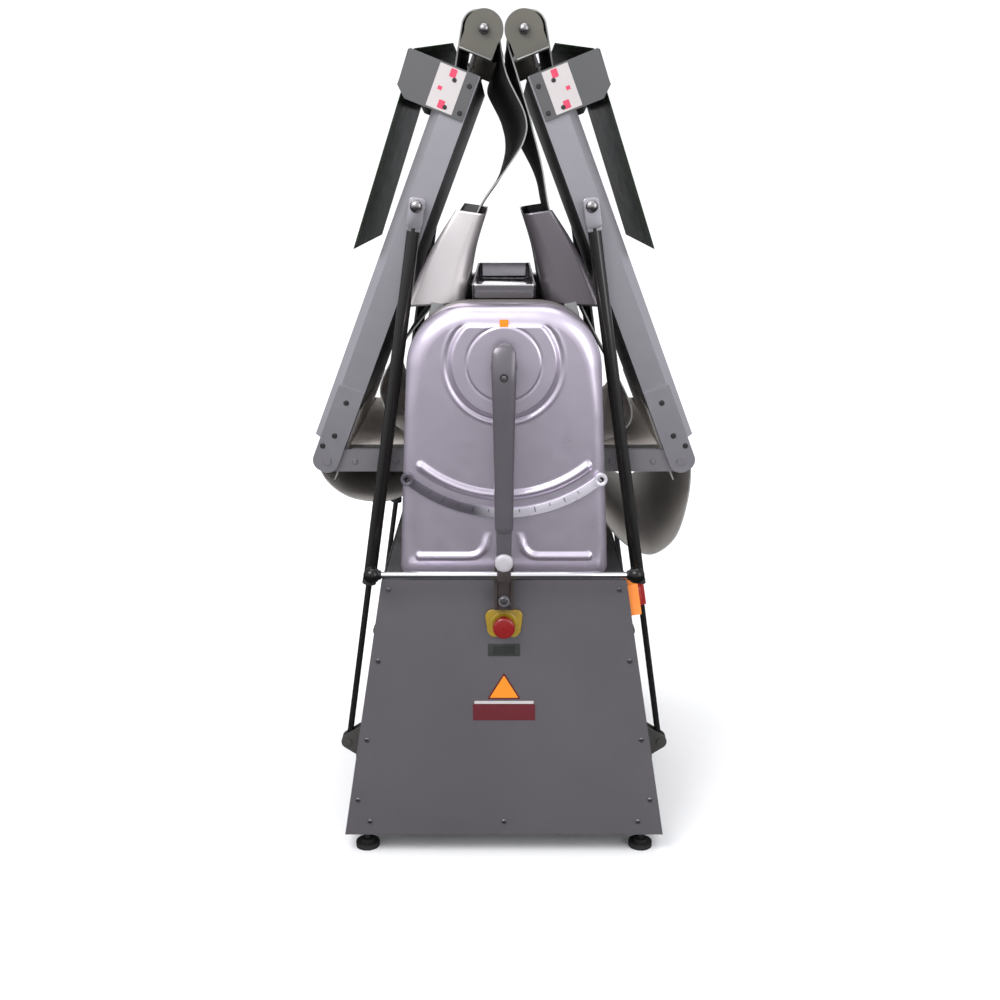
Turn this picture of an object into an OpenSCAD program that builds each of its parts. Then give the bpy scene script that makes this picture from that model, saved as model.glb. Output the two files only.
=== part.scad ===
// Reversible dough sheeter on a closed base, with both conveyor tables folded up over the head.
// Millimetres. X runs along the conveyors, the operator stands at -Y, +Z is up, and z = 0 is the floor.
// Pieces that come in pairs are drawn for the right-hand side and mirrored for the left-hand one.

/* [Base] */
// Half width of the base at the bottom edge of its panels
base_bottom_half = 321; // [300:1:335]
// Half width of the base at the top edge of its panels
base_top_half = 234; // [220:1:240]
// Height of the bottom edge of the base panels
base_bottom_z = 45; // [35:1:60]
// Height of the top of the base
base_top_z = 586; // [560:1:590]
// Half depth of the base
base_half_depth = 400; // [390:1:410]
// Thickness of the sheet-metal panels
panel_t = 2; // [1.5:0.5:3]
// Width of the square tubes of the base frame
bar_w = 30; // [25:1:40]

/* [Head] */
// Half width of the head housings where they meet the base
head_bottom_half = 199; // [190:1:200]
// Half width of the head housings at the shoulder
head_top_half = 181; // [176:1:184]
// Height of the top of the head housings
head_top_z = 1108; // [1100:1:1120]
// Radius of the shoulders of the head housings
head_corner = 120; // [110:1:120]
// Depth of each head housing
housing_depth = 98; // [90:1:98]
// Wall thickness of the cast housings
housing_wall = 5; // [4:0.5:6]
// Distance from the middle to the inside of a side frame
side_frame_y = 290; // [290:1:292]
// Thickness of the side frames
side_frame_t = 10; // [8:1:10]

/* [Rollers] */
// Radius of the two sheeting rollers
roller_r = 42; // [38:0.5:42]
// Height of the lower sheeting roller's centre
lower_roller_z = 776; // [774:1:776]
// Gap between the sheeting rollers at rest
roller_gap = 25; // [24:1:27]
// Radius of the rollers that drive the conveyor belts
drive_r = 20; // [18:0.5:20]
// Distance from the middle to a drive roller's centre
drive_x = 72; // [70:1:74]

/* [Gap adjuster] */
// Height of the gap handle's pivot
cam_z = 1001; // [995:1:1005]
// Cam radius at rest
cam_r = 70; // [66:1:72]
// Cam rise for each radian that the handle turns
cam_rise = 34.4; // [30:0.1:36]
// How far the handle turns each way, in degrees
handle_swing = 40; // [30:1:42]

/* [Tables] */
// Distance from the middle to a table's hinge
hinge_x = 344.6; // [344:0.1:346]
// Height of the table hinges
hinge_z = 795; // [794:1:796]
// Lean of a folded table from upright, in degrees
fold_lean = 21.3; // [21:0.1:21.4]
// Distance from the hinge to the end roller's centre
table_len = 850; // [840:1:850]
// Length at which the side rails end
rail_end = 772; // [760:1:775]
// Half the overall width of a table over its rails
rail_y = 290; // [288:1:290]
// Radius of the end rollers
end_roller_r = 24; // [22:0.5:24]
// Distance from the hinge line up to the table's bed
bed_top = 23; // [22:1:23]

/* [Belts] */
// Half width of the conveyor belts
belt_half = 260; // [240:1:260]
// Thickness of the conveyor belts
belt_t = 2.5; // [2:0.1:3]

/* [Struts] */
// Where a strut is pinned to the table, along the rail
strut_l = 518; // [510:1:525]
// Distance from the middle to the lower strut pivot
strut_foot_x = 317; // [315:1:319]
// Height of the lower strut pivot
strut_foot_z = 215; // [210:1:220]
// Length of the strut's outer tube
tube_len = 735; // [720:1:740]
// Length of the strut's rod
rod_len = 460; // [440:1:470]

/* [Hidden] */
$fn = 48;
LEFT = -1;
RIGHT = 1;
gap = 0.3;
run_fit = 0.05;
fold_deg = 90 + fold_lean;
base_lean = atan((base_bottom_half - base_top_half) / (base_top_z - base_bottom_z));
head_bottom_z = base_top_z + gap;
frame_top_z = head_top_z - 13;
frame_out_y = side_frame_y + side_frame_t;
upper_roller_z = lower_roller_z + 2 * roller_r + roller_gap;
bed_z = hinge_z + bed_top;
belt_z = bed_z + 1;
drive_z = belt_z - drive_r;
journal_r = 15;
block_y = frame_out_y + 2;
block_end_y = 330;
cam_y = 335;
cam_w = 10;
cam_shaft_r = 12;
follower_r = 6;
follower_z = cam_z - cam_r - 8.6;
pulley_y = 340;
pulley_r = 80;
motor_pulley_r = 35;
motor_z = 230;
sprocket_y = -365;
lower_sprocket_r = 40;
drive_sprocket_r = 19.8;
handle_front_y = 472;
handle_t = 24;
handle_tip_z = 641;
gland_reach = 415;
y_shift = (handle_front_y - gland_reach) / 2;
lever_pivot_z = 552;
lever_bar_z = 608;
lever_bar_y = 436;
lever_bar_r = 6.5;
ball_r = 16;
ball_x = 248;
estop_z = 498;
switch_y = 365;
switch_z = 541;
guard_pivot = [150, 985];
hinge_pin_r = 8;
strut_y = 316;
strut_pin_r = 8;
rod_r = 6;
tube_r = 12.5;
tube_bore_r = 10.5;
pan_l = 400;
pan_drop = 89;
pan_len = 375;
pan_slope = 2.6;
pan_half = 278;

// Half width of the base's sloping sides at height z
function base_half(z) = base_bottom_half - (z - base_bottom_z) * tan(base_lean);

// A table's own point (along, belt side) on the machine, for the right-hand table folded up
function on_fold(l, p) = [hinge_x + l * cos(fold_deg) - p * sin(fold_deg),
    hinge_z + l * sin(fold_deg) + p * cos(fold_deg)];
strut_top = on_fold(strut_l, -4);
strut_deg = atan2(strut_top[1] - strut_foot_z, strut_top[0] - strut_foot_x);

// Catmull-Rom curve through the points p, with n steps to a span
function knot(p, i) = p[max(0, min(len(p) - 1, i))];
function spline_at(a, b, c, d, t) = 0.5 * (2 * b + (c - a) * t + (2 * a - 5 * b + 4 * c - d) * t * t
    + (3 * b - a - 3 * c + d) * t * t * t);
function spline(p, n) = [for (i = [0:len(p) - 2], k = [0:n - 1])
    spline_at(knot(p, i - 1), knot(p, i), knot(p, i + 1), knot(p, i + 2), k / n), p[len(p) - 1]];

// Outline of a strip of thickness t along the points p
function turn_left(v) = [-v[1], v[0]] / norm(v);
function edge(p, t) = [for (i = [0:len(p) - 1]) p[i] + turn_left(knot(p, i + 1) - knot(p, i - 1)) * t / 2];
function backwards(p) = [for (i = [len(p) - 1:-1:0]) p[i]];
function strip(p, t) = concat(edge(p, t), backwards(edge(p, -t)));

module place() translate([0, y_shift, 0]) children();
module handed(side) {
    if (side == LEFT) mirror([1, 0, 0]) children();
    else children();
}
module front_and_rear() {
    children();
    mirror([0, 1, 0]) children();
}
module four_ways() {
    front_and_rear() {
        children();
        mirror([1, 0, 0]) children();
    }
}
// An outline in X and Z, drawn from y0 to y1
module along_y(y0, y1) translate([0, y1, 0]) rotate([90, 0, 0]) linear_extrude(y1 - y0) children();
// An outline in Y and Z, drawn from x0 to x1
module along_x(x0, x1) translate([x0, 0, 0]) rotate([90, 0, 90]) linear_extrude(x1 - x0) children();
module rod_y(x, z, r, y0, y1) translate([x, y1, z]) rotate([90, 0, 0]) cylinder(r = r, h = y1 - y0);
module ring_y(x, z, r, bore, y0, y1) difference() {
    rod_y(x, z, r, y0, y1);
    rod_y(x, z, bore, y0 - 1, y1 + 1);
}
module on_table() translate([hinge_x, 0, hinge_z]) rotate([0, -fold_deg, 0]) children();
module on_pan() on_table() translate([pan_l, 0, -pan_drop]) rotate([0, pan_slope, 0]) children();
module on_base_side(z) translate([base_half(z), 0, z]) rotate([0, -base_lean, 0]) children();

// ---- Base ----
foot = [280, 362];
plate_t = 4;
shelf_w = 200;

module frame_ring(z) {
    half = base_half(z + bar_w) - panel_t - 1;
    deep = base_half_depth - panel_t - gap;
    difference() {
        translate([-half, -deep, z]) cube([2 * half, 2 * deep, bar_w]);
        translate([bar_w - half, bar_w - deep, z - 1]) cube([2 * (half - bar_w), 2 * (deep - bar_w), bar_w + 2]);
    }
}
module corner_post() {
    length = (base_top_z - base_bottom_z - 8) / cos(base_lean);
    translate([base_half(base_bottom_z) - panel_t - 2, -base_half_depth + panel_t + gap, base_bottom_z + 1])
        rotate([0, -base_lean, 0]) translate([-bar_w, 0, 2]) cube([bar_w - 3, bar_w, length - 8]);
}
module base_frame() place() color("dimgray") difference() {
    union() {
        frame_ring(base_bottom_z + 1);
        frame_ring(base_top_z - plate_t - bar_w);
        four_ways() corner_post();
        translate([-base_top_half + 4, -base_half_depth + 4, base_top_z - plate_t])
            cube([2 * base_top_half - 8, 2 * base_half_depth - 8, plate_t]);
        translate([-shelf_w / 2, -base_half_depth + 20, base_bottom_z + 1])
            cube([shelf_w, 2 * base_half_depth - 40, plate_t]);
    }
    translate([-95, pulley_y - 20, base_top_z - 60]) cube([190, 40, 80]);
    four_ways() translate([foot[0], -foot[1], 0]) cylinder(r = 5.1, h = base_bottom_z + 20);
}

module levelling_feet() place() color("dimgray") four_ways() translate([foot[0], -foot[1], 0]) {
    cylinder(r = 24, h = 10);
    translate([0, 0, 9]) cylinder(r = 14, h = 8);
    translate([0, 0, 16]) cylinder(r = 5, h = base_bottom_z);
    translate([0, 0, base_bottom_z - 8]) cylinder(r = 9, h = 8, $fn = 6);
}

module base_end_outline(inset) polygon([
    [-base_half(base_bottom_z) + inset, base_bottom_z], [base_half(base_bottom_z) - inset, base_bottom_z],
    [base_half(base_top_z) - inset, base_top_z], [-base_half(base_top_z) + inset, base_top_z]]);

module front_panel() place() color("slategray") {
    difference() {
        along_y(-base_half_depth, -base_half_depth + panel_t) base_end_outline(0);
        rod_y(0, estop_z, 15, -base_half_depth - 1, -base_half_depth + 5);
    }
    rod_y(0, lever_pivot_z, hinge_pin_r, -base_half_depth - 22, -base_half_depth);
    rod_y(0, lever_pivot_z, 11, -base_half_depth - 25, -base_half_depth - 21);
}

gland_at = [-150, 120];
gland_r = 10;
module rear_panel() place() color("slategray") difference() {
    along_y(base_half_depth - panel_t, base_half_depth) base_end_outline(0);
    rod_y(gland_at[0], gland_at[1], gland_r, base_half_depth - 5, base_half_depth + 1);
}

module side_panels() place() color("slategray") for (side = [LEFT, RIGHT]) handed(side)
    translate([base_half(base_bottom_z), 0, base_bottom_z]) rotate([0, -base_lean, 0])
        translate([-panel_t, -base_half_depth + panel_t, 1])
            cube([panel_t, 2 * (base_half_depth - panel_t), (base_top_z - base_bottom_z) / cos(base_lean) - 2]);

screw_zs = [122, 253, 420, 566];
module pan_head(r) {
    cylinder(r1 = r, r2 = r * 0.7, h = 2.5);
}
module panel_screw(x, z) translate([x, -base_half_depth, z]) rotate([90, 0, 0]) pan_head(5);
module panel_screws() place() color("silver") front_and_rear() {
    for (z = screw_zs, side = [-1, 1]) panel_screw(side * (base_half(z) - 16), z);
    for (x = [-270, 0, 270]) panel_screw(x, 74);
}

// ---- Head ----
module head_outline(inset, top) {
    shoulder_z = top - head_corner;
    low = head_bottom_half - inset;
    high = head_top_half - inset;
    polygon([[-low, head_bottom_z], [low, head_bottom_z], [high, shoulder_z], [-high, shoulder_z]]);
    for (side = [-1, 1]) translate([side * (head_top_half - head_corner), shoulder_z])
        circle(r = head_corner - inset, $fn = 96);
    translate([head_corner - head_top_half, shoulder_z - 1])
        square([2 * (head_top_half - head_corner), head_corner - inset + 1]);
}

spring_shelf_z = 812;
slot_half = 17;
slot_bottom_z = upper_roller_z - 41;
slot_top_z = upper_roller_z + 83;
guide_w = 10;
tie_bars = [[-34, 640], [34, 640], [0, 1066]];
module side_frame() difference() {
    union() {
        along_y(-frame_out_y, -side_frame_y) intersection() {
            head_outline(12, head_top_z - 1);
            translate([-300, head_bottom_z]) square([600, frame_top_z - head_bottom_z]);
        }
        for (side = [-1, 1]) translate([side * (35 + guide_w / 2 + gap) - guide_w / 2, -block_end_y, 838])
            cube([guide_w, block_end_y - frame_out_y + 1, 94]);
        rod_y(guard_pivot[0], guard_pivot[1], 7, -side_frame_y - 1, -264);
        rod_y(-guard_pivot[0], guard_pivot[1], 7, -side_frame_y - 1, -264);
        translate([-20, -block_end_y, spring_shelf_z - 5]) cube([40, block_end_y - frame_out_y + 1, 5]);
    }
    translate([-slot_half, -frame_out_y - 1, slot_bottom_z])
        cube([2 * slot_half, side_frame_t + 2, slot_top_z - slot_bottom_z]);
    rod_y(0, lower_roller_z, 26, -frame_out_y - 1, -side_frame_y + 1);
    rod_y(0, cam_z, cam_shaft_r + run_fit, -frame_out_y - 1, -side_frame_y + 1);
    for (side = [-1, 1]) rod_y(side * drive_x, drive_z, 8 + run_fit, -frame_out_y - 1, -side_frame_y + 1);
}
module head_frame() place() color("gray") {
    front_and_rear() side_frame();
    for (at = tie_bars) rod_y(at[0], at[1], 10, -side_frame_y - 1, side_frame_y + 1);
}

disc_r = 105;
housing_step = 8;
module housing_shell() difference() {
    union() {
        along_y(-housing_depth, -housing_step) head_outline(0, head_top_z);
        along_y(-housing_step, 0) head_outline(housing_step, head_top_z);
    }
    along_y(-housing_depth - 1, -housing_step - 2) head_outline(housing_wall + 2, head_top_z);
    along_y(-housing_depth - 1, -housing_wall) head_outline(housing_wall + housing_step + 2, head_top_z);
}
module front_housing() place() color("silver") difference() {
    union() {
        translate([0, -base_half_depth, 0]) mirror([0, 1, 0]) housing_shell();
        difference() {
            rod_y(0, cam_z, disc_r, -base_half_depth - 5, -base_half_depth + 2);
            rod_y(0, cam_z, disc_r - 8, -base_half_depth - 6, -base_half_depth);
        }
        rod_y(0, cam_z, 69, -base_half_depth - 4, -base_half_depth + 2);
        raised_arc(247, 8, 3, 38);
        for (side = [-1, 1]) translate([side * 97 - 68, -base_half_depth - 4, 630]) cube([136, 6, 9]);
    }
    rod_y(0, cam_z, cam_shaft_r + 1, -base_half_depth - 10, -base_half_depth + 10);
}
module raised_arc(r, w, proud, half_deg) translate([0, -base_half_depth + 1, cam_z]) rotate([90, 0, 0])
    rotate([0, 0, -90 - half_deg]) rotate_extrude(angle = 2 * half_deg, $fn = 96)
        translate([r - w / 2, 0]) square([w, proud + 1]);

module rear_housing() place() color("silver") difference() {
    translate([0, base_half_depth, 0]) housing_shell();
    rod_y(0, cam_z, cam_shaft_r + 1, base_half_depth - 10, base_half_depth + 10);
}

track_r = 281;
module scale_track() place() color("gainsboro") {
    translate([0, -base_half_depth - gap, cam_z]) rotate([90, 0, 0]) rotate([0, 0, -90 - handle_swing])
        rotate_extrude(angle = 2 * handle_swing, $fn = 96) translate([track_r - 9, 0]) square([18, 5]);
    for (side = [-1, 1]) rod_y(side * track_r * sin(handle_swing), cam_z - track_r * cos(handle_swing), 12,
        -base_half_depth - 12, -base_half_depth - gap);
}

module roller_bearings() place() color("silver") front_and_rear() difference() {
    union() {
        rod_y(0, lower_roller_z, 26, -frame_out_y, -side_frame_y);
        rod_y(0, lower_roller_z, 30, -frame_out_y - 5, -frame_out_y);
    }
    rod_y(0, lower_roller_z, journal_r + run_fit, -frame_out_y - 6, -side_frame_y + 1);
}

module lower_scraper() place() color("gainsboro") {
    rod_y(0, 700, 8, -side_frame_y, side_frame_y);
    for (side = [-1, 1]) handed(side) along_y(-258, 258)
        polygon([[0, 700], [5, 696], [25, 738], [22, 739]]);
}

module centre_bed() place() color("gainsboro") for (side = [LEFT, RIGHT]) handed(side)
    translate([drive_x + drive_r + 6, -side_frame_y + 6, bed_z - 3])
        cube([hinge_x - 48 - drive_x - drive_r - 6, 2 * side_frame_y - 12, 3]);

bracket_r = 22;
module hinge_brackets() place() color("silver") four_ways() {
    along_y(-side_frame_y, -side_frame_y + 6) {
        translate([hinge_x, hinge_z]) circle(r = bracket_r);
        translate([120, hinge_z - bracket_r]) square([hinge_x - 120, 2 * bracket_r]);
    }
    rod_y(hinge_x, hinge_z, hinge_pin_r, -side_frame_y - 10, -side_frame_y + 1);
    for (x = [210, 291]) translate([x, -side_frame_y, hinge_z - 2]) rotate([90, 0, 0]) pan_head(6);
}

ear_t = 6;
ear_y = 7;
module strut_lug() {
    foot_low = strut_foot_z - 30;
    foot_high = strut_foot_z + 35;
    for (y = [-strut_y - ear_y - ear_t, -strut_y + ear_y]) along_y(y, y + ear_t)
        union() {
            translate([strut_foot_x, strut_foot_z]) circle(r = 15);
            polygon([[base_half(foot_low) + gap, foot_low], [strut_foot_x + 9, strut_foot_z - 12],
                [strut_foot_x + 9, strut_foot_z + 12], [base_half(foot_high) + gap, foot_high]]);
        }
    along_y(-strut_y - 20, -strut_y + 20) polygon([[base_half(foot_low) + gap, foot_low],
        [base_half(foot_low) + 4, foot_low], [base_half(foot_high) + 4, foot_high],
        [base_half(foot_high) + gap, foot_high]]);
    rod_y(strut_foot_x, strut_foot_z, 6, -strut_y - ear_y - ear_t - 3, -strut_y + ear_y + ear_t + 3);
}
module strut_lugs() place() color("dimgray") four_ways() strut_lug();

tray_half = 60;
tray_top_z = 1136;
module flour_tray() place() color("gainsboro") difference() {
    translate([-tray_half, -side_frame_y - 6, frame_top_z + gap])
        cube([2 * tray_half, 2 * side_frame_y + 12, tray_top_z - frame_top_z]);
    translate([-tray_half + 2, -side_frame_y - 4, frame_top_z + 2])
        cube([2 * tray_half - 4, 2 * side_frame_y + 8, tray_top_z]);
}

estop_bore = 9;
module estop_collar() place() color("gold") {
    along_y(-base_half_depth - 6, -base_half_depth) difference() {
        intersection() {
            translate([0, estop_z]) circle(r = 36);
            translate([-40, estop_z - 26]) square([80, 56]);
        }
        translate([0, estop_z]) circle(r = estop_bore);
    }
    ring_y(0, estop_z, 14, estop_bore, -base_half_depth, -base_half_depth + 45);
}
module estop_button() place() color("red") {
    rod_y(0, estop_z, 21, -base_half_depth - 32, -base_half_depth - 14);
    rod_y(0, estop_z, estop_bore - run_fit, -base_half_depth - 15, -base_half_depth + 30);
}

switch_t = 20;
module switch_box() place() color("orange") on_base_side(switch_z) difference() {
    translate([gap, -switch_y - 25, -31]) cube([switch_t, 50, 62]);
    translate([switch_t - 8, -switch_y, 0]) rotate([0, 90, 0]) cylinder(r = 6 + run_fit, h = 20);
}
module switch_knob() place() color("firebrick") on_base_side(switch_z) translate([switch_t, -switch_y, 0]) {
    translate([-7, 0, 0]) rotate([0, 90, 0]) cylinder(r = 6, h = 10);
    translate([1, 0, 0]) rotate([0, 90, 0]) cylinder(r = 21, h = 4);
    translate([4, -5, -19]) cube([9, 10, 38]);
}

// ---- Drive ----
module motor() place() color("steelblue") {
    rod_y(0, motor_z, 72, -40, 230);
    rod_y(0, motor_z, 78, -80, -40);
    for (y = [0, 160]) translate([-75, y, base_bottom_z + plate_t + 1])
        cube([150, 30, motor_z - base_bottom_z - 40]);
    translate([-90, 30, motor_z + 20]) cube([40, 90, 60]);
}
module belt_pulley(r, z, y) translate([0, y, z]) rotate([90, 0, 0]) rotate_extrude($fn = 96)
    polygon([[0, -9], [r, -9], [r, -6], [r - 8, -4], [r - 8, 4], [r, 6], [r, 9], [0, 9]]);
module motor_pulley() place() color("dimgray") {
    belt_pulley(motor_pulley_r, motor_z, pulley_y);
    rod_y(0, motor_z, 12, 230 + gap, pulley_y + 12);
}
module v_belt_outline(grow) hull() {
    translate([0, motor_z]) circle(r = motor_pulley_r - 6 + grow);
    translate([0, lower_roller_z]) circle(r = pulley_r - 6 + grow, $fn = 64);
}
module v_belt() place() color("black") along_y(pulley_y - 3, pulley_y + 3) difference() {
    v_belt_outline(8);
    v_belt_outline(0);
}
module chain_outline(grow) hull() {
    translate([0, lower_roller_z]) circle(r = lower_sprocket_r + grow);
    for (side = [-1, 1]) translate([side * drive_x, drive_z]) circle(r = drive_sprocket_r + grow);
}
module drive_chain() place() color("dimgray") along_y(sprocket_y - 3, sprocket_y + 3) difference() {
    chain_outline(6);
    chain_outline(1);
}
module cable_gland() place() color("black") difference() {
    union() {
        rod_y(gland_at[0], gland_at[1], gland_r - gap, base_half_depth - 12, gland_reach);
        translate([gland_at[0], gland_reach - 5, gland_at[1]]) rotate([90, 0, 0])
            cylinder(r = 15, h = 10, $fn = 6);
    }
    rod_y(gland_at[0], gland_at[1], 6, base_half_depth - 13, gland_reach + 1);
}

// ---- Rollers and gap adjuster ----
module lower_roller() place() color("silver") {
    rod_y(0, lower_roller_z, roller_r, -side_frame_y + 4, side_frame_y - 4);
    rod_y(0, lower_roller_z, journal_r, sprocket_y - 8, pulley_y + 12);
    rod_y(0, lower_roller_z, lower_sprocket_r, sprocket_y - 2.5, sprocket_y + 2.5);
    belt_pulley(pulley_r, lower_roller_z, pulley_y);
}
module upper_roller() place() color("silver") {
    rod_y(0, upper_roller_z, roller_r, -side_frame_y + 4, side_frame_y - 4);
    rod_y(0, upper_roller_z, journal_r, -block_end_y + 2, block_end_y - 2);
}
module drive_roller(side) place() color("silver") handed(side) {
    rod_y(drive_x, drive_z, drive_r, -side_frame_y + 8, side_frame_y - 8);
    rod_y(drive_x, drive_z, 8, sprocket_y - 5, frame_out_y + 4);
    rod_y(drive_x, drive_z, drive_sprocket_r, sprocket_y - 2.5, sprocket_y + 2.5);
}

scraper_z = upper_roller_z + 52;
module upper_carriage() place() color("gray") {
    front_and_rear() {
        difference() {
            translate([-35, -block_end_y, upper_roller_z - 32]) cube([70, block_end_y - block_y, 92]);
            rod_y(0, upper_roller_z, journal_r + run_fit, -block_end_y - 1, -block_y + 1);
        }
        rod_y(0, follower_z, follower_r, -cam_y - cam_w, -block_end_y + 1);
    }
    rod_y(0, scraper_z, 6, -block_y - 2, block_y + 2);
    for (side = [-1, 1]) handed(side) along_y(-258, 258)
        polygon([[0, scraper_z - 3], [3, scraper_z + 4], [28, upper_roller_z + 37],
            [26, upper_roller_z + 35.5]]);
}

// Radius of the cam at an angle from straight down, in degrees
function cam_radius(a) = cam_r + cam_rise * a * PI / 180;
function arc_points(r, from, to, step) = [for (a = [from:step:to]) r * [cos(a), sin(a)]];
module cam_disc() {
    reach = handle_swing + 3;
    polygon(concat(
        [for (a = [-reach:2:reach]) cam_radius(a) * [sin(a), -cos(a)]],
        arc_points(cam_radius(-reach), -90 + reach + 12, 270 - reach, 8)));
}
module cam_shaft() place() color("silver") {
    rod_y(0, cam_z, cam_shaft_r, -base_half_depth - 44, base_half_depth + 4);
    front_and_rear() along_y(-cam_y - cam_w, -cam_y) translate([0, cam_z]) cam_disc();
}

spring_r = 11;
spring_wire = 1.6;
spring_turns = 4;
spring_low_z = spring_shelf_z + spring_wire;
spring_high_z = upper_roller_z - 32 - spring_wire - gap;
function coil_ring(a, z) = [for (k = [0:45:315]) let (r = spring_r + spring_wire * cos(k))
    [r * cos(a), r * sin(a), z + spring_wire * sin(k)]];
module helix(turns, z0, z1) {
    steps = turns * 16;
    rings = [for (i = [0:steps]) each coil_ring(i * 22.5, z0 + (z1 - z0) * i / steps)];
    sides = [for (i = [0:steps - 1], k = [0:7]) let (a = i * 8, next = (k + 1) % 8)
        [a + k, a + next, a + 8 + next, a + 8 + k]];
    polyhedron(rings, concat([[for (k = [7:-1:0]) k]], sides, [[for (k = [0:7]) steps * 8 + k]]), convexity = 8);
}
module carriage_springs() place() color("silver") for (y = [-316, 316]) translate([0, y, 0])
    helix(spring_turns, spring_low_z, spring_high_z);

module gap_handle() place() color("silver") difference() {
    union() {
        along_y(-handle_front_y, -handle_front_y + handle_t) {
            translate([0, cam_z + 23]) circle(r = 22.5);
            for (side = [LEFT, RIGHT]) handed(side)
                polygon([[-1, cam_z + 23], [22.5, cam_z + 23], [18, 830], [15, handle_tip_z],
                    [-1, handle_tip_z]]);
            translate([0, handle_tip_z]) circle(r = 17);
        }
        rod_y(0, cam_z, 24, -handle_front_y + 1, -base_half_depth - 6);
    }
    rod_y(0, cam_z, cam_shaft_r, -base_half_depth - 44, -base_half_depth);
}

// ---- Controls on the base ----
stem_half = 18;
stem_low_z = 532;
module reverse_lever() place() color("silver") difference() {
    union() {
        translate([-stem_half, -base_half_depth - 20, stem_low_z])
            cube([2 * stem_half, 8, lever_bar_z + 22 - stem_low_z]);
        translate([-13, -lever_bar_y - 10, lever_bar_z - 12]) cube([26, 30, 24]);
        translate([-ball_x + ball_r - 2, -lever_bar_y, lever_bar_z]) rotate([0, 90, 0])
            cylinder(r = lever_bar_r, h = 2 * (ball_x - ball_r + 2));
    }
    rod_y(0, lever_pivot_z, hinge_pin_r + run_fit, -base_half_depth - 30, -base_half_depth);
}
module ball_knobs() place() color("black") for (side = [-1, 1]) difference() {
    translate([side * ball_x, -lever_bar_y, lever_bar_z]) sphere(r = ball_r);
    translate([side * (ball_x - ball_r - 1) - 3, -lever_bar_y, lever_bar_z]) rotate([0, 90, 0])
        cylinder(r = lever_bar_r, h = 6);
}

// ---- Finger guards ----
guard_top_in = [36, 1263];
guard_top_out = [90, 1271];
guard_low_in = [77, 1097];
guard_low_out = [173, 1123];
guard_half = 266;
module guard(side) place() color("gainsboro") handed(side) {
    sheet = spline([guard_low_in, [62, 1180], guard_top_in], 6);
    along_y(-guard_half, guard_half) polygon(strip(sheet, 2));
    front_and_rear() {
        along_y(-guard_half - 2, -guard_half) polygon(concat(sheet, [guard_top_out, guard_low_out]));
        difference() {
            along_y(-guard_half - 8, -guard_half - 2) {
                translate(guard_pivot) circle(r = 14);
                translate(guard_pivot) rotate(12) translate([-12, 0]) square([24, 150]);
            }
            rod_y(guard_pivot[0], guard_pivot[1], 7 + run_fit, -guard_half - 9, -guard_half + 1);
        }
    }
}

// ---- Tables ----
rail_in = 266;
rail_t = 3;
lip_z = -24;
lip_low_z = -40;
rail_start = 38;
module rail_profile() polygon([[-rail_in, bed_top], [-rail_y, bed_top], [-rail_y, lip_z],
    [-rail_y + 16, lip_low_z], [-rail_y + 18, lip_low_z + 2.5], [-rail_y + rail_t, lip_z + 1.5], [-rail_y + rail_t, bed_top - rail_t],
    [-rail_in, bed_top - rail_t]]);
hinge_plate_y = side_frame_y + 1;
hinge_plate_t = 6;
module hinge_plate() difference() {
    along_y(-hinge_plate_y - hinge_plate_t, -hinge_plate_y) {
        circle(r = bracket_r + 1);
        translate([0, -6]) circle(r = bracket_r);
        translate([0, -28]) square([150, bed_top + 28]);
    }
    rod_y(0, 0, hinge_pin_r + run_fit, -hinge_plate_y - hinge_plate_t - 1, -hinge_plate_y + 1);
}
module rails(side) place() color("silver") handed(side) on_table() front_and_rear() {
    along_x(rail_start, rail_end) rail_profile();
    translate([rail_start, -hinge_plate_y, -20]) cube([110, 2, 40]);
    hinge_plate();
    translate([rail_end - 20, -rail_y + 1, -15]) cube([20, 18, 30]);
    rod_y(strut_l, -4, 14, -rail_y - 10, -rail_y + 2);
    rod_y(strut_l, -4, strut_pin_r, -strut_y - 8, -rail_y);
}

module bed(side) place() color("gainsboro") handed(side) on_table()
    translate([rail_start, -rail_in, bed_top - rail_t]) cube([rail_end - rail_start, 2 * rail_in, rail_t]);

plate_r = 35;
plate_cut = 47;
module tensioner_plates(side) place() color("darkkhaki") handed(side) on_table()
    front_and_rear() difference() {
    along_y(-rail_y, -rail_y + 8) {
        translate([table_len, 0]) circle(r = plate_r);
        translate([table_len - plate_cut, -plate_r + 3]) square([plate_cut, 2 * plate_r - 6]);
    }
    rod_y(table_len, 0, 8 + run_fit, -rail_y - 1, -rail_y + 9);
}

hinge_screws = [[122, -3.5], [53, -3], [26, -18]];
bracket_screws = [[699, 11], [749, 11], [699, -18], [749, -18]];
bracket_y = rail_y + 6;
module table_screws(side) place() color("dimgray") handed(side) on_table() front_and_rear() {
    for (at = hinge_screws) translate([at[0], -hinge_plate_y - hinge_plate_t, at[1]]) rotate([90, 0, 0])
        pan_head(5.5);
    for (at = bracket_screws) translate([at[0], -bracket_y, at[1]]) rotate([90, 0, 0])
        pan_head(4.5);
    translate([table_len, -rail_y, 0]) rotate([90, 0, 0]) cylinder(r = 10, h = 6, $fn = 6);
    translate([rail_end, -rail_y + 4, 0]) rotate([0, 90, 0])
        cylinder(r = 4, h = table_len - plate_cut - rail_end);
    translate([rail_end + 8, -rail_y + 4, 0]) rotate([0, 90, 0]) cylinder(r = 7, h = 6, $fn = 6);
}

module pan_brackets(side) place() color("silver") handed(side) on_table() front_and_rear() {
    along_y(-bracket_y, -rail_y)
        polygon([[687, 20], [rail_end, 20], [rail_end, -112], [705, -112], [687, -92]]);
    translate([705, -rail_y - 1, -112]) rotate([0, pan_slope, 0]) cube([rail_end - 707, 36, 3]);
}

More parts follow.
